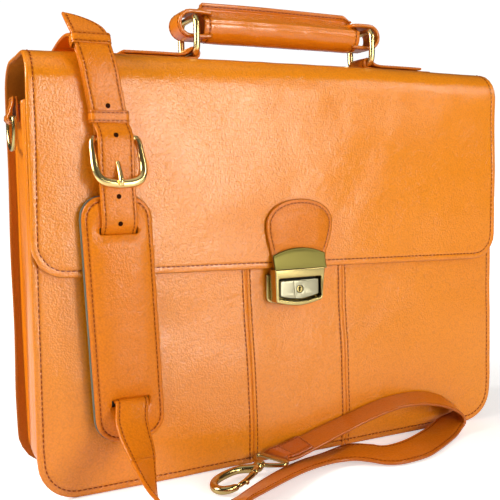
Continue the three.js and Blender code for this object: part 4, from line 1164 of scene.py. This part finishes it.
# prong, looped round the bar: y, z
PRONG = arc(BAR_Y, BAR_Z, 3.75, np.linspace(78, 262, 9)) + [
    (BAR_Y - 2.6, 254.6), (-57.6, 249.6), (-60.6, 243.6), (-64.2, 238.2), (-67.2, 233.4),
    (-68.9, 229.6), (-68.6, 226.6)]
PRONG_RADII = [1.2] * 9 + [1.3, 1.45, 1.65, 1.85, 1.9, 1.85, 1.5]
attach(wire("buckle_prong_brass", [(BAR_X - 1, y, z) for y, z in PRONG], PRONG_RADII, SATIN_GOLD,
            sides=12, step=0.7), "prong", "buckle_prong", slot="brass")

# ------------------------------------------------------------------ shoulder pad
PAD_X, PAD_W, PAD_LOW, PAD_HIGH, PAD_R = -152.0, 51.5, 41.8, 219.6, 17.0
PAD_LEFT, PAD_RIGHT, PAD_L = PAD_X - PAD_W / 2, PAD_X + PAD_W / 2, PAD_HIGH - PAD_LOW
PAD_STITCH = 3.4
SLOT_Z = (195.0, 70.2)                  # where the leather is held down round the slots


def pad_outline(gap):
    """Closed outline, moved in by gap."""
    points = np.array(rounded_rect(PAD_LEFT + gap, PAD_LOW + gap, PAD_RIGHT - gap,
                                   PAD_HIGH - gap, PAD_R - gap, 14))
    return np.vstack([points, points[:1]])


pad_line = pad_outline(0)


def distance_to(line, x, z):
    return line_distance(np.stack([x.ravel(), z.ravel()], 1), [line]).reshape(x.shape)


def pad_cloth():
    """Cloth blown up over the filling, held along its sewn edge and round both slots.

    Returns the grid's x and z and the height of the leather, or None if the result is unsound.
    """
    size = MM * 10                      # simulated at ten times its size
    grid_x = np.linspace(PAD_LEFT, PAD_RIGHT, 25)
    grid_z = np.linspace(PAD_LOW, PAD_HIGH, 83)
    x, z = np.meshgrid(grid_x, grid_z)
    gap = distance_to(pad_line, x, z)
    start = 0.9 * ease((gap - 2.5) / 12)
    held = (gap < 3.6) | (x < PAD_LEFT + 3.0) | (x > PAD_RIGHT - 3.0)
    side_gap = np.minimum(x - PAD_LEFT, PAD_RIGHT - x)
    end_gap = np.minimum(z - PAD_LOW, PAD_HIGH - z)
    held |= ((side_gap < PAD_R) & (end_gap < PAD_R)
             & (np.hypot(PAD_R - side_gap, PAD_R - end_gap) > PAD_R - 3.4))
    for slot_z in SLOT_Z:
        held |= (np.abs(x - LONG_X) < 15.5) & (np.abs(z - slot_z) < 3.4)
    start[held] = 0
    points = np.stack([x, -start, z], -1).reshape(-1, 3) * MM * 10
    index = np.arange(x.size).reshape(x.shape)
    faces = np.stack([index[:-1, :-1], index[:-1, 1:], index[1:, 1:], index[1:, :-1]], -1)
    mesh = bpy.data.meshes.new("pad_sim")
    mesh.from_pydata(points.tolist(), [], faces.reshape(-1, 4).tolist())
    obj = link("pad_sim", mesh)
    group = obj.vertex_groups.new(name="held")
    group.add([int(i) for i in np.flatnonzero(held.ravel())], 1.0, "REPLACE")
    modifier = obj.modifiers.new("Cloth", "CLOTH")
    cloth = modifier.settings
    cloth.quality = 6
    cloth.mass = 0.25
    cloth.tension_stiffness = cloth.compression_stiffness = 12
    cloth.shear_stiffness = 6
    cloth.bending_stiffness = 0.6
    cloth.air_damping = 1.5
    cloth.vertex_group_mass = "held"
    cloth.shrink_min = -0.045
    cloth.use_pressure = True
    cloth.uniform_pressure_force = 3.5
    cloth.effector_weights.gravity = 0
    modifier.collision_settings.use_collision = False
    modifier.point_cache.frame_start, modifier.point_cache.frame_end = 1, 20
    scene = bpy.context.scene
    for f in range(1, 19):
        scene.frame_set(f)
    evaluated = obj.evaluated_get(bpy.context.evaluated_depsgraph_get())
    out = np.empty(x.size * 3)
    evaluated.data.vertices.foreach_get("co", out)
    height = -out.reshape(*x.shape, 3)[..., 1] / size
    scene.frame_set(1)
    bpy.data.objects.remove(obj)
    bpy.data.meshes.remove(mesh)
    if not np.isfinite(height).all() or height.max() < 0.3 or height.min() < -2:
        return None
    # a point may rise by no more than the filling allows
    height = 3.6 * np.tanh(np.clip(height, 0, None) / 3.6)
    for _ in range(2):
        height[1:-1, 1:-1] = 0.5 * height[1:-1, 1:-1] + 0.125 * (
            height[2:, 1:-1] + height[:-2, 1:-1] + height[1:-1, 2:] + height[1:-1, :-2])
    return grid_x, grid_z, height


PAD_SIM = pad_cloth()


def pad_rise(x, z):
    """Simulated height, read off between grid points."""
    grid_x, grid_z, height = PAD_SIM
    across = np.clip((x - grid_x[0]) / (grid_x[1] - grid_x[0]), 0, len(grid_x) - 1.001)
    up = np.clip((z - grid_z[0]) / (grid_z[1] - grid_z[0]), 0, len(grid_z) - 1.001)
    i, j = across.astype(int), up.astype(int)
    right, above = ease(across - i), ease(up - j)
    return (height[j, i] * (1 - right) * (1 - above) + height[j, i + 1] * right * (1 - above)
            + height[j + 1, i] * (1 - right) * above + height[j + 1, i + 1] * right * above)


def pad_map(x, z):
    gap = distance_to(pad_line, x, z)
    puff = 2.3 * ease((gap - 2.5) / 15) if PAD_SIM is None else pad_rise(x, z)
    puff = puff + 0.5 * ease(gap / 3)
    # drawn in where the strap goes through
    draw_in = 1.3 if PAD_SIM is None else 0.5
    for slot_z in SLOT_Z:
        puff = puff - draw_in * hill(x, z, LONG_X, slot_z, 15, 8)
    return np.stack([x + lean(z), -56.0 - puff - 0.18 * undulate(x, z, 41, 40), z], -1)


def gripper_map(x, z):
    return np.stack([x + lean(z), np.full(x.shape, -53.3), z], -1)


offsets = np.r_[EDGE_STEPS, np.arange(20, PAD_L - 20, 3.5), PAD_L - np.array(EDGE_STEPS)[::-1]]
offsets = offsets[np.r_[True, np.diff(offsets) > 1e-6]]
corner = np.maximum(corner_in(offsets, PAD_R), corner_in(PAD_L - offsets, PAD_R))
pad_stitch = pad_outline(PAD_STITCH)
pad = sheet("pad_leather", pad_map,
            columns(PAD_LEFT + corner, PAD_RIGHT - corner, EDGE_STEPS, 5),
            (PAD_LOW + offsets)[:, None], 2.6, [STRAP, INNER], [pad_line], flip=1,
            stitches=[pad_stitch], groove_depth=0.4, groove_width=0.8)
slots = []
for z in (194.8, 70.6):
    middle = LONG_X + float(lean(z))
    slots.append(bevelled_box((middle - 14.2, -70, z - 2.6), (middle + 13.9, -50, z + 2.6), 1.2))
cut(pad, slots)
for polygon in pad.data.polygons:
    polygon.use_smooth = True
pad_thread = thread_mesh("pad_stitch", pad_map, [pad_stitch], 1, pitch=3.6, length=2.7,
                         radius=0.36)
attach_sewn((pad, pad_thread), "flap_front", "pad_face", slot="leather_tan")

OVERHANG = 0.35                         # of the backing round the pad
across = columns(PAD_LEFT - OVERHANG + corner, PAD_RIGHT + OVERHANG - corner,
                 [0, .4, 1.0, 2, 4, 8], 3)
rows = PAD_LOW - OVERHANG + offsets * (PAD_L + 2 * OVERHANG) / PAD_L
attach(sheet("pad_gripper", gripper_map, across, rows[:, None], 3.6, [BACKING, BACKING],
             [pad_outline(-OVERHANG)], flip=1, rounding=0.6), "flap_front", slot="pad_backing")

# ------------------------------------------------------------------ tongue on the flap
LOCK_X, LOCK_Z = -3.0, 141.5
TONGUE_LOW, TONGUE_HIGH = 158.8, 213.4


def bezier(*points):
    t = np.linspace(0, 1, 14)[:, None]
    p0, p1, p2, p3 = (np.array(p, float) for p in points)
    return ((1 - t) ** 3 * p0 + 3 * (1 - t) ** 2 * t * p1 + 3 * (1 - t) * t * t * p2
            + t ** 3 * p3)


# right half of the outline: distance from the middle, z
TONGUE_HALF = np.vstack([
    [(23.6, TONGUE_LOW)], bezier((23.8, 160), (24.4, 172), (30.4, 182), (30.4, 193)),
    bezier((30.4, 193), (30.4, 206), (17, TONGUE_HIGH), (0.001, TONGUE_HIGH))[1:]])
tongue_line = np.vstack([TONGUE_HALF + [LOCK_X, 0],
                         (TONGUE_HALF * [-1, 1] + [LOCK_X, 0])[::-1]])


def tongue_map(x, z):
    gap = distance_to(tongue_line, x, z)
    puff = 1.5 * ease((gap - 3.4) / 9) + 0.25 * ease(gap / 3)
    puff = puff * (0.35 + 0.65 * ease((z - 170) / 14))
    ridge = 0.5 * np.exp(-((z - 176 - 0.004 * (x - LOCK_X) ** 2) / 2.2) ** 2)
    y = -50.2 - puff - ridge - 0.12 * undulate(x, z, 61, 26)
    return np.stack([x + 3.2 + 1.2 * ease((z - 165) / 40), y, z], -1)


rows = np.r_[[TONGUE_LOW, 159.6, 161, 164], np.arange(167, 196, 2.6),
             TONGUE_HIGH - np.array([17, 15, 13, 11, 9.4, 8, 6.8, 5.8, 4.9, 4.1, 3.4, 2.8, 2.2,
                                     1.7, 1.2, .8, .45, .2, .05])]
half = np.maximum(np.interp(rows, TONGUE_HALF[:, 1], TONGUE_HALF[:, 0]), 0.6)
tongue_stitch = inset(tongue_line, 3.2, side=1)
tongue_stitch = tongue_stitch[tongue_stitch[:, 1] > 172]
tongue = sheet("tongue_leather", tongue_map,
               columns(LOCK_X - half, LOCK_X + half, STRAP_STEPS, 10), rows[:, None], 2.3,
               [STRAP, INNER], [tongue_line], flip=1, stitches=[tongue_stitch], rounding=1.0,
               groove_depth=0.3, groove_width=0.7)
tongue_thread = thread_mesh("tongue_stitch", tongue_map, [tongue_stitch], 1, pitch=3.3,
                            length=2.4, radius=0.33)
attach_sewn((tongue, tongue_thread), "flap_front", "lock_tongue", slot="leather_tan")


# ------------------------------------------------------------------ lock
def bowed(half, low, high, bow, corner):
    """Outline round the lock's middle with a bowed lower edge and rounded corners."""
    bottom = []
    for k in range(11):
        share = -1 + 2 * k / 10
        bottom.append((LOCK_X + (half - corner) * share, low + bow * share * share))
    right = []
    for k in range(6):
        t = math.radians(-80 + 80 * k / 5)
        right.append((LOCK_X + half - corner + corner * math.cos(t),
                      low + bow + corner * 0.9 + corner * math.sin(t) * 0.9))
    top = min(corner, 1.2)
    right += arc(LOCK_X + half - top, high - top, top, [90 * k / 4 for k in range(5)])
    return bottom + right + [(2 * LOCK_X - x, z) for x, z in right[::-1]]


def round_lock(points):
    return [(LOCK_X + x, LOCK_Z + z) for x, z in points]


key_bore = circle(LOCK_X, LOCK_Z, 3.1)
KEYHOLE = [(-0.45, -1.75), (0.45, -1.75), (0.45, 0.35), (0.85, 1.1), (0.4, 1.75), (-0.4, 1.75),
           (-0.85, 1.1), (-0.45, 0.35)]
attach(plate("lock_base_brass", bowed(24.6, 127.4, 154, bow=3.0, corner=5), -45.2, -42.3, BRASS,
             bevel=0.9), "case", "lock_base_plate", slot="brass")
# the lock body is painted near-black as the shade in the gap round the push plate
attach(plate("lock_body_gap_shade", bowed(18.6, 132.9, 149.7, bow=2.4, corner=2), -50.4, -44.6,
             GAP_SHADE, bevel=0.5), "case", "lock_body", slot="brass_satin")
attach(plate("push_plate_satin", bowed(17.6, 133.9, 148.9, bow=2.3, corner=1.4), -55.4, -52.5,
             CHAMPAGNE, bevel=0.8, holes=[key_bore]),
       "lock_push", "lock_push_plate", slot="brass_satin")
# raised strip down the middle of the push plate
strip = [(LOCK_X + x, z) for x, z in
         [(5.6, 148.3), (4.6, 134.3), (0, 133.9), (-4.6, 134.3), (-5.6, 148.3)]]
attach(plate("push_plate_frame", strip, -56.0, -54.9, CHAMPAGNE, bevel=0.35, holes=[key_bore]),
       "lock_push")
attach(plate("key_cylinder", circle(LOCK_X, LOCK_Z, 2.75), -55.6, -52.6, BRASS, bevel=0.35,
             holes=[round_lock(KEYHOLE)]), "lock_key", "lock_cylinder", slot="brass")
# near-black disc behind the keyhole: painted shade inside the key slot
attach(plate("key_slot", circle(LOCK_X, LOCK_Z, 1.9), -54.2, -52.8, GAP_SHADE, bevel=0.1),
       "lock_key")

# hasp: arched plate on the tongue that swells towards its lower edge
HASP_HALF, HASP_LOW, HASP_SHOULDER = 23.7, 157.2, 169.4


def hasp_top(x):
    return HASP_SHOULDER + 5.2 * (1 - ((x - LOCK_X) / HASP_HALF) ** 2)


def hasp_map(x, z):
    t = np.clip((z - HASP_LOW) / 15.0, 0, 1)
    y = -53.0 - 2.9 * (1 - t) ** 1.7 - 0.35 * np.exp(-((z - (hasp_top(x) - 1.2)) / 0.7) ** 2)
    return np.stack([x + 1.6, y, z], -1)


# the top edge is an arc, so rows follow it
shares = np.unique(np.r_[0, .04, .1, .2, np.linspace(.35, 1, 14)[:-1], .94, .965, .985, .995, 1])
rim = np.array([22.6, 23.1, 23.4, 23.6, HASP_HALF])
hasp_x = LOCK_X + np.unique(np.round(np.r_[-rim, np.linspace(-21.8, 21.8, 30), rim], 3))
hasp_edges = [np.stack([hasp_x, hasp_top(hasp_x)], 1)]
hasp_edges += [[(LOCK_X + x, HASP_LOW), (LOCK_X + x, HASP_SHOULDER)]
               for x in (-HASP_HALF, HASP_HALF)]
attach(sheet("hasp_plate_brass", hasp_map, hasp_x,
             HASP_LOW + shares[:, None] * (hasp_top(hasp_x)[None] - HASP_LOW), 2.3,
             [OLIVE, OLIVE], hasp_edges, flip=1, rounding=0.7),
       "flap_front", "hasp_plate", slot="brass")
# bezel round the push plate; its sides draw in downwards, the right one more
BEZEL_LOW, BEZEL_HIGH = 128.4, 158.2
bezel = []
for x, z in bowed(22.8, BEZEL_LOW, BEZEL_HIGH, bow=3.0, corner=2.6):
    down = (BEZEL_HIGH - z) / (BEZEL_HIGH - BEZEL_LOW)
    bezel.append((x - 3.0 * down * (x > LOCK_X) + 0.9 * down * (x < LOCK_X), z))
attach(plate("hasp_bezel", bezel, -57.2, -46.4, BRASS, bevel=1.0,
             holes=[bowed(19.3, 132.0, 151.0, bow=2.4, corner=1.3)], resolution=4),
       "flap_front", "hasp_frame", slot="brass")

# ------------------------------------------------------------------ handle
HANDLE_X, HANDLE_Y, GRIP_Z, GRIP_L = 9.0, -5.0, 352.0, 146.0
RING_OUT, RING_Z = 82, 329.0            # handle rings: distance from the middle, lower bar
LOOP_R = 9.3
GRIP_HALF = GRIP_L / 2
SIDES = (("left", -1), ("right", 1))
# base strap under and over the ring's bar: distance outwards, height, share of the top's crown
BASE_UNDER = [(68, -5.35, 1), (50, -5.2, 0.95), (30, -5.1, 0.9), (14, -4.9, 0.5), (6, -4.3, 0)]
BASE_OVER = [(6.6, -0.2, 0), (13, -1.9, 0.5), (30, -2.2, 0.9), (58, -2.5, 1)]
# front-to-rear half of a ring: y from its middle, z
RING_HALF = [(10.1, 329), (14.6, 330.2), (16.6, 335.5), (16.6, 349.5), (14.6, 354.6), (10.1, 356)]
RING_LOOP = RING_HALF + [(-y, z) for y, z in RING_HALF[::-1]]


def handle_end(side, sign):
    ring_x = HANDLE_X + sign * RING_OUT
    crown = float(top_crown(ring_x + sign * 30))
    under, over = ([(ring_x + sign * out, RING_Z + up + crown * share)
                    for out, up, share in table] for table in (BASE_UNDER, BASE_OVER))
    bend = arc(0, RING_Z, 3.9, np.linspace(-90, 130, 12))
    points = under + [(ring_x - sign * x, z) for x, z in bend] + over
    base = Ribbon(pairs_along_y(points, HANDLE_Y, 24), 24.0, 2.3, crown=0.35, out=(0, 0, -1),
                  step=0.7)
    attach_sewn(strap(f"handle_base_{side}", base, STRAP, stitch=2.4), "flap_top",
                f"handle_strap_{side}", slot="leather_tan")

    ring = [(ring_x, HANDLE_Y + y, z) for y, z in RING_LOOP]
    attach(wire(f"handle_ring_{side}_brass", ring, 2.6, SATIN_GOLD, sides=16, step=0.9,
                closed=True), f"ring_{side}", f"handle_ring_{side}", slot="brass")

    inner_x = HANDLE_X + sign * (GRIP_HALF - 7)
    mouth_x = HANDLE_X + sign * (GRIP_HALF + 0.4)
    bend = arc(0, GRIP_Z, LOOP_R, np.linspace(90, -90, 11))
    points = [(inner_x, GRIP_Z + 8.6), (mouth_x, GRIP_Z + LOOP_R)]
    points += [(ring_x + sign * 2 + sign * x, z) for x, z in bend]
    points += [(mouth_x, GRIP_Z - LOOP_R), (inner_x, GRIP_Z - 8.6)]
    loop = Ribbon(pairs_along_y(points, HANDLE_Y, 22.8), 22.8, 2.9, crown=0.3, out=(0, 0, 1),
                  step=0.7)
    attach_sewn(strap(f"handle_loop_{side}_leather", loop, EDGE, cut_ends=(False, False),
                      inner=STRAP, stitch=2.4),
                "handle", f"handle_loop_{side}", slot="leather_edge")


for side, sign in SIDES:
    handle_end(side, sign)

# grip: one sheet rolled round the core, its two edges sewn together in a fin along the top
# section from the fin's rear edge, down the rear and up the front: y, z
GRIP_SECTION = smooth_curve(
    [(-0.2, 371.0), (0.9, 368.4), (2.0, 365.8)]
    + arc(HANDLE_Y, GRIP_Z, 13.1, np.linspace(44, -198, 26))
    + [(-1.9, 364.8), (-3.1, 367.6), (-4.0, 371.0)], 0.9)
GRIP_RUN = run_lengths(GRIP_SECTION)
ROUND = GRIP_RUN[-1]


def grip_map(x, along):
    """x from the middle of the grip, along round the section."""
    y = np.interp(along, GRIP_RUN, GRIP_SECTION[:, 0])
    z = np.interp(along, GRIP_RUN, GRIP_SECTION[:, 1])
    fin = ease((z - 364.0) / 3.0)
    middle = np.cos(x / GRIP_HALF * PI / 2)
    belly = 1 + 0.035 * np.maximum(middle, 0) ** 0.8 - 0.05 * ease((np.abs(x) - 66) / 7)
    angle = np.arctan2(z - GRIP_Z, y - HANDLE_Y)
    waves = (0.22 * np.sin(x / 5.5 + 2.2 * np.sin(angle)) * np.cos(angle)
             + 0.28 * undulate(x, angle * 13, 71, 34))
    swell = belly * (1 - fin) + fin
    new_y = HANDLE_Y + (y - HANDLE_Y) * swell + waves * np.cos(angle) * (1 - fin)
    new_z = GRIP_Z + (z - GRIP_Z) * swell + waves * np.sin(angle) * (1 - fin)
    # the fin drops away at both ends and is a little wavy
    drop = ease((x - 64) / 9) * 0.85 + 0.95 * ease((-x - 69.4) / 1.6)
    new_z = new_z - fin * np.maximum(z - 364.5, 0) * drop
    new_y = new_y + fin * 0.5 * np.sin(x / 19.0)
    # slightly higher in the middle
    new_z = new_z + 0.6 * middle
    return np.stack([x + HANDLE_X, new_y, new_z], -1)


fin_steps = np.array([0, .15, .4, .8, 1.4, 2.0, 2.6, 3.2])
rows = np.r_[fin_steps, np.linspace(4, ROUND - 4, 74), ROUND - fin_steps[::-1]]
grip_edges = [[(-GRIP_HALF, along), (GRIP_HALF, along)] for along in (0, ROUND)]
grip_edges += [[(x, 0), (x, ROUND)] for x in (-GRIP_HALF, GRIP_HALF)]
fin_x = np.linspace(-69.5, 71, 120)
grip_stitches = [np.stack([fin_x, np.full(120, along)], 1) for along in (ROUND - 2.9, 2.9)]
grip_stitches += [np.stack([np.full(80, x), np.linspace(9, ROUND - 7, 80)], 1)
                  for x in (-68.6, 68.6)]
grip = sheet("grip_leather", grip_map, spread(GRIP_L, EDGE_STEPS[:14], 4) - GRIP_HALF,
             rows[:, None], 2.0, [HANDLE, INNER], grip_edges, flip=1, stitches=grip_stitches,
             rounding=0.9, groove_depth=0.35, groove_width=0.8)
grip_thread = thread_mesh("grip_stitch", grip_map, grip_stitches, 1, pitch=3.6, length=2.7,
                          radius=0.36)
attach_sewn((grip, grip_thread), "handle", "handle_grip", slot="leather_tan")


def grip_end(side, sign, sides=28):
    """Domed filler at the end of the roll."""
    points, faces = [(HANDLE_X + sign * 72.2, HANDLE_Y, GRIP_Z)], []
    for radius, out in [(7.5, 72.4), (10.6, 72.0), (11.6, 71.0)]:
        for k in range(sides):
            t = 2 * PI * k / sides
            points.append((HANDLE_X + sign * out, HANDLE_Y + radius * math.cos(t),
                           GRIP_Z + radius * math.sin(t)))
    for k in range(sides):
        here, following = 1 + k, 1 + (k + 1) % sides
        faces.append((0, here, following))
        for first in (0, sides):
            faces.append((first + here, first + here + sides, first + following + sides,
                          first + following))
    attach(add_mesh(f"grip_end_{side}", points, faces, INNER), "handle")


for side, sign in SIDES:
    grip_end(side, sign)

# ------------------------------------------------------------------ side rings
SIDE_RING_X, SIDE_RING_Y, SIDE_RING_Z = 211, 5, 277
TAB_X, TAB_W = 206.9, 16.8
# outer layer down, round the ring's bar, and up behind it: distance from the middle, z
TAB = [(TAB_X + 3.2, 292.5), (TAB_X + 3.7, 287), (TAB_X + 5.2, 283)]
TAB += arc(SIDE_RING_X, SIDE_RING_Z, 3.3, np.linspace(50, -180, 12))
TAB += [(TAB_X + 0.9, 282), (TAB_X + 0.9, 292.5)]
# ring with a straight top bar: y and z from the bar's middle
D_RING = [
    (-10.2, 0), (0, 0), (10.2, 0), (12.4, -1.0), (13.0, -4.2), (12.9, -9), (11.6, -14.5),
    (8.4, -19.2), (4.2, -21.6), (0, -22.3), (-4.2, -21.6), (-8.4, -19.2), (-11.6, -14.5),
    (-12.9, -9), (-13.0, -4.2), (-12.4, -1.0)]
for side, sign in SIDES:
    points = [(sign * x, z) for x, z in TAB]
    tab = Ribbon(pairs_along_y(points, SIDE_RING_Y, TAB_W), TAB_W, 1.7, crown=0.2,
                 out=(sign, 0, 0), step=0.6)
    attach_sewn(strap(f"side_tab_{side}", tab, EDGE, stitch=2.0), "case", f"dring_tab_{side}",
                slot="leather_edge")
    ring = [(sign * SIDE_RING_X, SIDE_RING_Y + y, SIDE_RING_Z + z) for y, z in D_RING]
    attach(wire(f"side_ring_{side}_brass", ring, 1.85, BRASS, sides=14, step=0.8, closed=True),
           f"dring_{side}", f"dring_{side}", slot="brass")

# ------------------------------------------------------------------ snap hooks
# a hook lies in its own XY plane and points along its X; tables hold x, y, z, radius
HOOK_EYE = [
    (x, y, 0, 1.75) for x, y in [
        (0, -12), (0, 0), (0, 12), (0.6, 14.2), (3.0, 15.2), (6.0, 14.0), (10.6, 8.0),
        (13.2, 3.6), (14.0, 0), (13.2, -3.6), (10.6, -8.0), (6.0, -14.0), (3.0, -15.2),
        (0.6, -14.2)]]
HOOK_SWIVEL = [(12.4, 0, 0, 2.6), (13.6, 0, 0, 3.0), (14.2, 0, 0, 3.0), (15.2, 0, 0, 2.4)]
HOOK_BARREL = [(15.9, 0, 0, 2.6), (16.5, 0, 0, 3.8), (18.2, 0, 0, 4.3), (19.4, 0, 0, 4.3),
               (20.4, 0, 0, 3.9), (22.0, 0, 0, 3.0)]
HOOK_CURVE = [
    (20.5, 0, 0, 3.4), (22.5, -0.4, 0, 3.5), (25.4, -2.9, 0, 3.5), (29.2, -7.0, 0, 3.3),
    (35.6, -9.9, 0, 3.1), (45.6, -10.9, 0, 3.1), (55.6, -9.6, 0, 3.15), (62.4, -5.2, 0, 3.25),
    (65.6, 0.8, 0, 3.3), (64.4, 6.0, 0, 3.2), (60.2, 9.2, 0, 3.0), (55.6, 10.5, 0, 2.7),
    (54.0, 10.7, 0, 2.1)]
HOOK_CHEEK = [(20.5, 0.4, 0, 3.2), (23.5, 2.1, 0, 3.0), (26.4, 3.8, 0, 2.8), (28.6, 4.8, 0, 2.6)]
HOOK_GATE = [(29.6, 5.2, 0, 2.2), (32.0, 6.0, 0, 2.45), (36, 7.3, 0, 2.2), (44, 9.2, 0, 2.0),
             (50.5, 10.3, 0, 2.0), (52.3, 10.5, 0, 1.5)]
HOOK_THUMB = [(44.5, 10.4, 0, 1.6), (44.5, 12.6, 0, 1.7), (44.5, 13.2, 0, 1.2)]
HOOK_PIN = [(30.6, 5.6, -2.9, 0.9), (30.6, 5.6, 0, 0.9), (30.6, 5.6, 2.9, 0.9)]


def snap_hook(number, origin, axes, eye_body):
    def part(suffix, stations, sides, step, body, node=None, material=POLISHED, closed=False):
        points = [origin + axes @ np.array(station[:3], float) for station in stations]
        obj = wire(f"hook{number}_{suffix}", points, [station[3] for station in stations],
                   material, sides, step, closed)
        if node:
            attach(obj, body, f"hook{number}_{node}", slot="brass")
        else:
            attach(obj, body)

    hook, gate = f"hook_{number}", f"gate_{number}"
    part("eye_brass", HOOK_EYE, 14, 0.7, eye_body, "eye", closed=True)
    part("swivel", HOOK_SWIVEL, 18, 0.4, eye_body)
    part("barrel", HOOK_BARREL, 20, 0.4, hook)
    part("curve", HOOK_CURVE, 18, 0.8, hook, "body")
    part("cheek", HOOK_CHEEK, 16, 0.6, hook)
    part("gate_brass", HOOK_GATE, 14, 0.7, gate, "gate")
    part("thumb", HOOK_THUMB, 12, 0.4, gate)
    part("pin", HOOK_PIN, 12, 0.6, hook, material=BRASS)


heading, dip = math.atan2(-0.377, -0.926), 0.062
cos_h, sin_h = math.cos(heading), math.sin(heading)
cos_d, sin_d = math.cos(dip), math.sin(dip)
FLOOR_AXES = np.array([[cos_h * cos_d, -sin_h, cos_h * sin_d],
                       [sin_h * cos_d, cos_h, sin_h * sin_d], [-sin_d, 0, cos_d]])
HANGING_AXES = np.array([[0, 1, 0], [0, 0, -1], [-1, 0, 0]], float)
snap_hook(1, np.array([-31.8, -60.2, 8.8]), FLOOR_AXES, "strap_tail")
snap_hook(2, np.array([-160, 59, 209.6]), HANGING_AXES, "case")

# ------------------------------------------------------------------ looks of the CAD pieces
NODE_LOOKS = {
    "lining_front": CLOTH, "lining_back": CLOTH, "divider_front": SUEDE, "divider_rear": SUEDE,
    "inner_pocket": SUEDE, "handle_core": EDGE, "pad_backing": BACKING,
    "lock_back_plate": STEEL, "lock_screw_left": STEEL, "lock_screw_right": STEEL,
    "latch_bolt": STEEL, "latch_spring": STEEL, "hasp_back_plate": STEEL,
    "hasp_screw_left": STEEL, "hasp_screw_right": STEEL}
SLOT_LOOKS = {
    "leather_tan": TAN, "leather_edge": EDGE, "leather_suede": SUEDE, "pad_backing": BACKING,
    "lining_cloth": CLOTH, "brass": BRASS, "brass_satin": CHAMPAGNE, "steel": STEEL}
node_slots = {s["node"]: s["material_slot"] for s in frame["record"]["subparts"]}
for name, obj in NODES.items():
    obj.data.materials.clear()
    obj.data.materials.append(NODE_LOOKS.get(name, SLOT_LOOKS[node_slots[name]]))


# ------------------------------------------------------------------ floor, world, lights, camera
def floor():
    """Pale near the object, fading into the white surround further out."""
    half = 6.0                          # metres
    mesh = bpy.data.meshes.new("floor")
    corners = [(-half, -half, 0), (half, -half, 0), (half, half, 0), (-half, half, 0)]
    mesh.from_pydata(corners, [], [(0, 1, 2, 3)])
    m = Material("floor")
    coords = m.add("ShaderNodeTexCoord")
    distance = m.add("ShaderNodeVectorMath", {0: coords.outputs["Object"]}, operation="LENGTH")
    far = m.scale_add(distance.outputs["Value"], 1.25, -0.42, clamp=True)
    rays = m.add("ShaderNodeLightPath")
    glow = m.scale_add(far, 0.70, 0.50)
    # full glow for the camera, little of it as light on the object
    seen = m.scale_add(rays.outputs["Is Camera Ray"], 0.84, 0.16)
    m.fill(m.shader, {
        "Base Color": (0.90, 0.90, 0.90, 1), "Roughness": 0.5,
        "Emission Color": (1, 1, 1, 1), "Emission Strength": m.times(glow, seen)})
    mesh.materials.append(m.material)
    link("floor", mesh)


def studio_world():
    """White behind the object; a dimmer room with a brighter upper part lights it."""
    world = bpy.data.worlds.new("studio")
    bpy.context.scene.world = world
    world.use_nodes = True
    w = Nodes(world.node_tree)
    output = w.add("ShaderNodeOutputWorld")
    rays = w.add("ShaderNodeLightPath")
    backdrop = w.add("ShaderNodeBackground", {0: (1, 1, 1, 1), 1: 1.05})
    room = w.add("ShaderNodeBackground")
    coords = w.add("ShaderNodeTexCoord")
    split = w.add("ShaderNodeSeparateXYZ", {0: coords.outputs["Generated"]})
    ramp = w.add("ShaderNodeValToRGB")
    low, high = ramp.color_ramp.elements
    low.position, low.color = 0.30, (0.30, 0.28, 0.27, 1)
    high.position, high.color = 0.95, (0.66, 0.62, 0.57, 1)
    w.put(ramp.inputs[0], w.scale_add(split.outputs[2], 0.5, 0.5))
    # reflections see a darker room: 0.25 falls to 0.08
    strength = w.scale_add(rays.outputs["Is Glossy Ray"], -0.17, 0.25)
    w.fill(room, {0: ramp.outputs[0], 1: strength})
    mixed = w.add("ShaderNodeMixShader", {
        0: rays.outputs["Is Camera Ray"], 1: room.outputs[0], 2: backdrop.outputs[0]})
    w.put(output.inputs[0], mixed.outputs[0])


def area(name, location, target, size, power, colour, size_y=None):
    light = bpy.data.lights.new(name, "AREA")
    light.shape = "RECTANGLE" if size_y else "SQUARE"
    light.size = size
    if size_y:
        light.size_y = size_y
    light.energy = power
    light.color = colour
    obj = link(name, light)
    obj.location = location
    direction = Vector(target) - Vector(location)
    obj.rotation_euler = direction.to_track_quat("-Z", "Y").to_euler()


def camera():
    data = bpy.data.cameras.new("camera")
    data.sensor_width = 36.0
    data.lens = 55.1088144
    data.clip_start = 0.02
    obj = link("camera", data)
    x, y, z = -0.30535868, -0.58318427, 0.22831304
    yaw, pitch, roll = 0.4555, -0.09006, -0.01768
    view = Vector((math.sin(yaw) * math.cos(pitch), math.cos(yaw) * math.cos(pitch),
                   math.sin(pitch)))
    level = view.cross(Vector((0, 0, 1))).normalized()
    upright = level.cross(view)
    right = math.cos(roll) * level + math.sin(roll) * upright
    up = -math.sin(roll) * level + math.cos(roll) * upright
    obj.matrix_world = Matrix(((right.x, up.x, -view.x, x), (right.y, up.y, -view.y, y),
                               (right.z, up.z, -view.z, z), (0, 0, 0, 1)))
    bpy.context.scene.camera = obj


floor()
studio_world()
area("front_softbox", (0.36, -1.30, 0.33), target=(-0.06, 0, 0.22), size=0.32, size_y=0.50,
     power=6.9, colour=(1.0, 0.96, 0.89))
area("front_strip", (0.45, -1.25, 0.62), target=(0.0, 0, 0.36), size=1.5, size_y=0.05,
     power=3.2, colour=(1, 0.97, 0.92))
area("key_right", (1.15, -1.05, 1.15), target=(0.0, 0, 0.18), size=0.26, power=4.4,
     colour=(1, 0.97, 0.90))
area("top", (-0.1, -0.30, 1.55), target=(0, 0, 0.15), size=1.1, power=2.2,
     colour=(1, 0.98, 0.95))
area("left", (-1.20, 0.02, 0.80), target=(-0.19, 0, 0.18), size=0.6, power=21.0,
     colour=(1, 0.98, 0.94))
camera()
bpy.context.scene.view_settings.view_transform = "Standard"
bpy.context.scene.view_settings.look = "None"
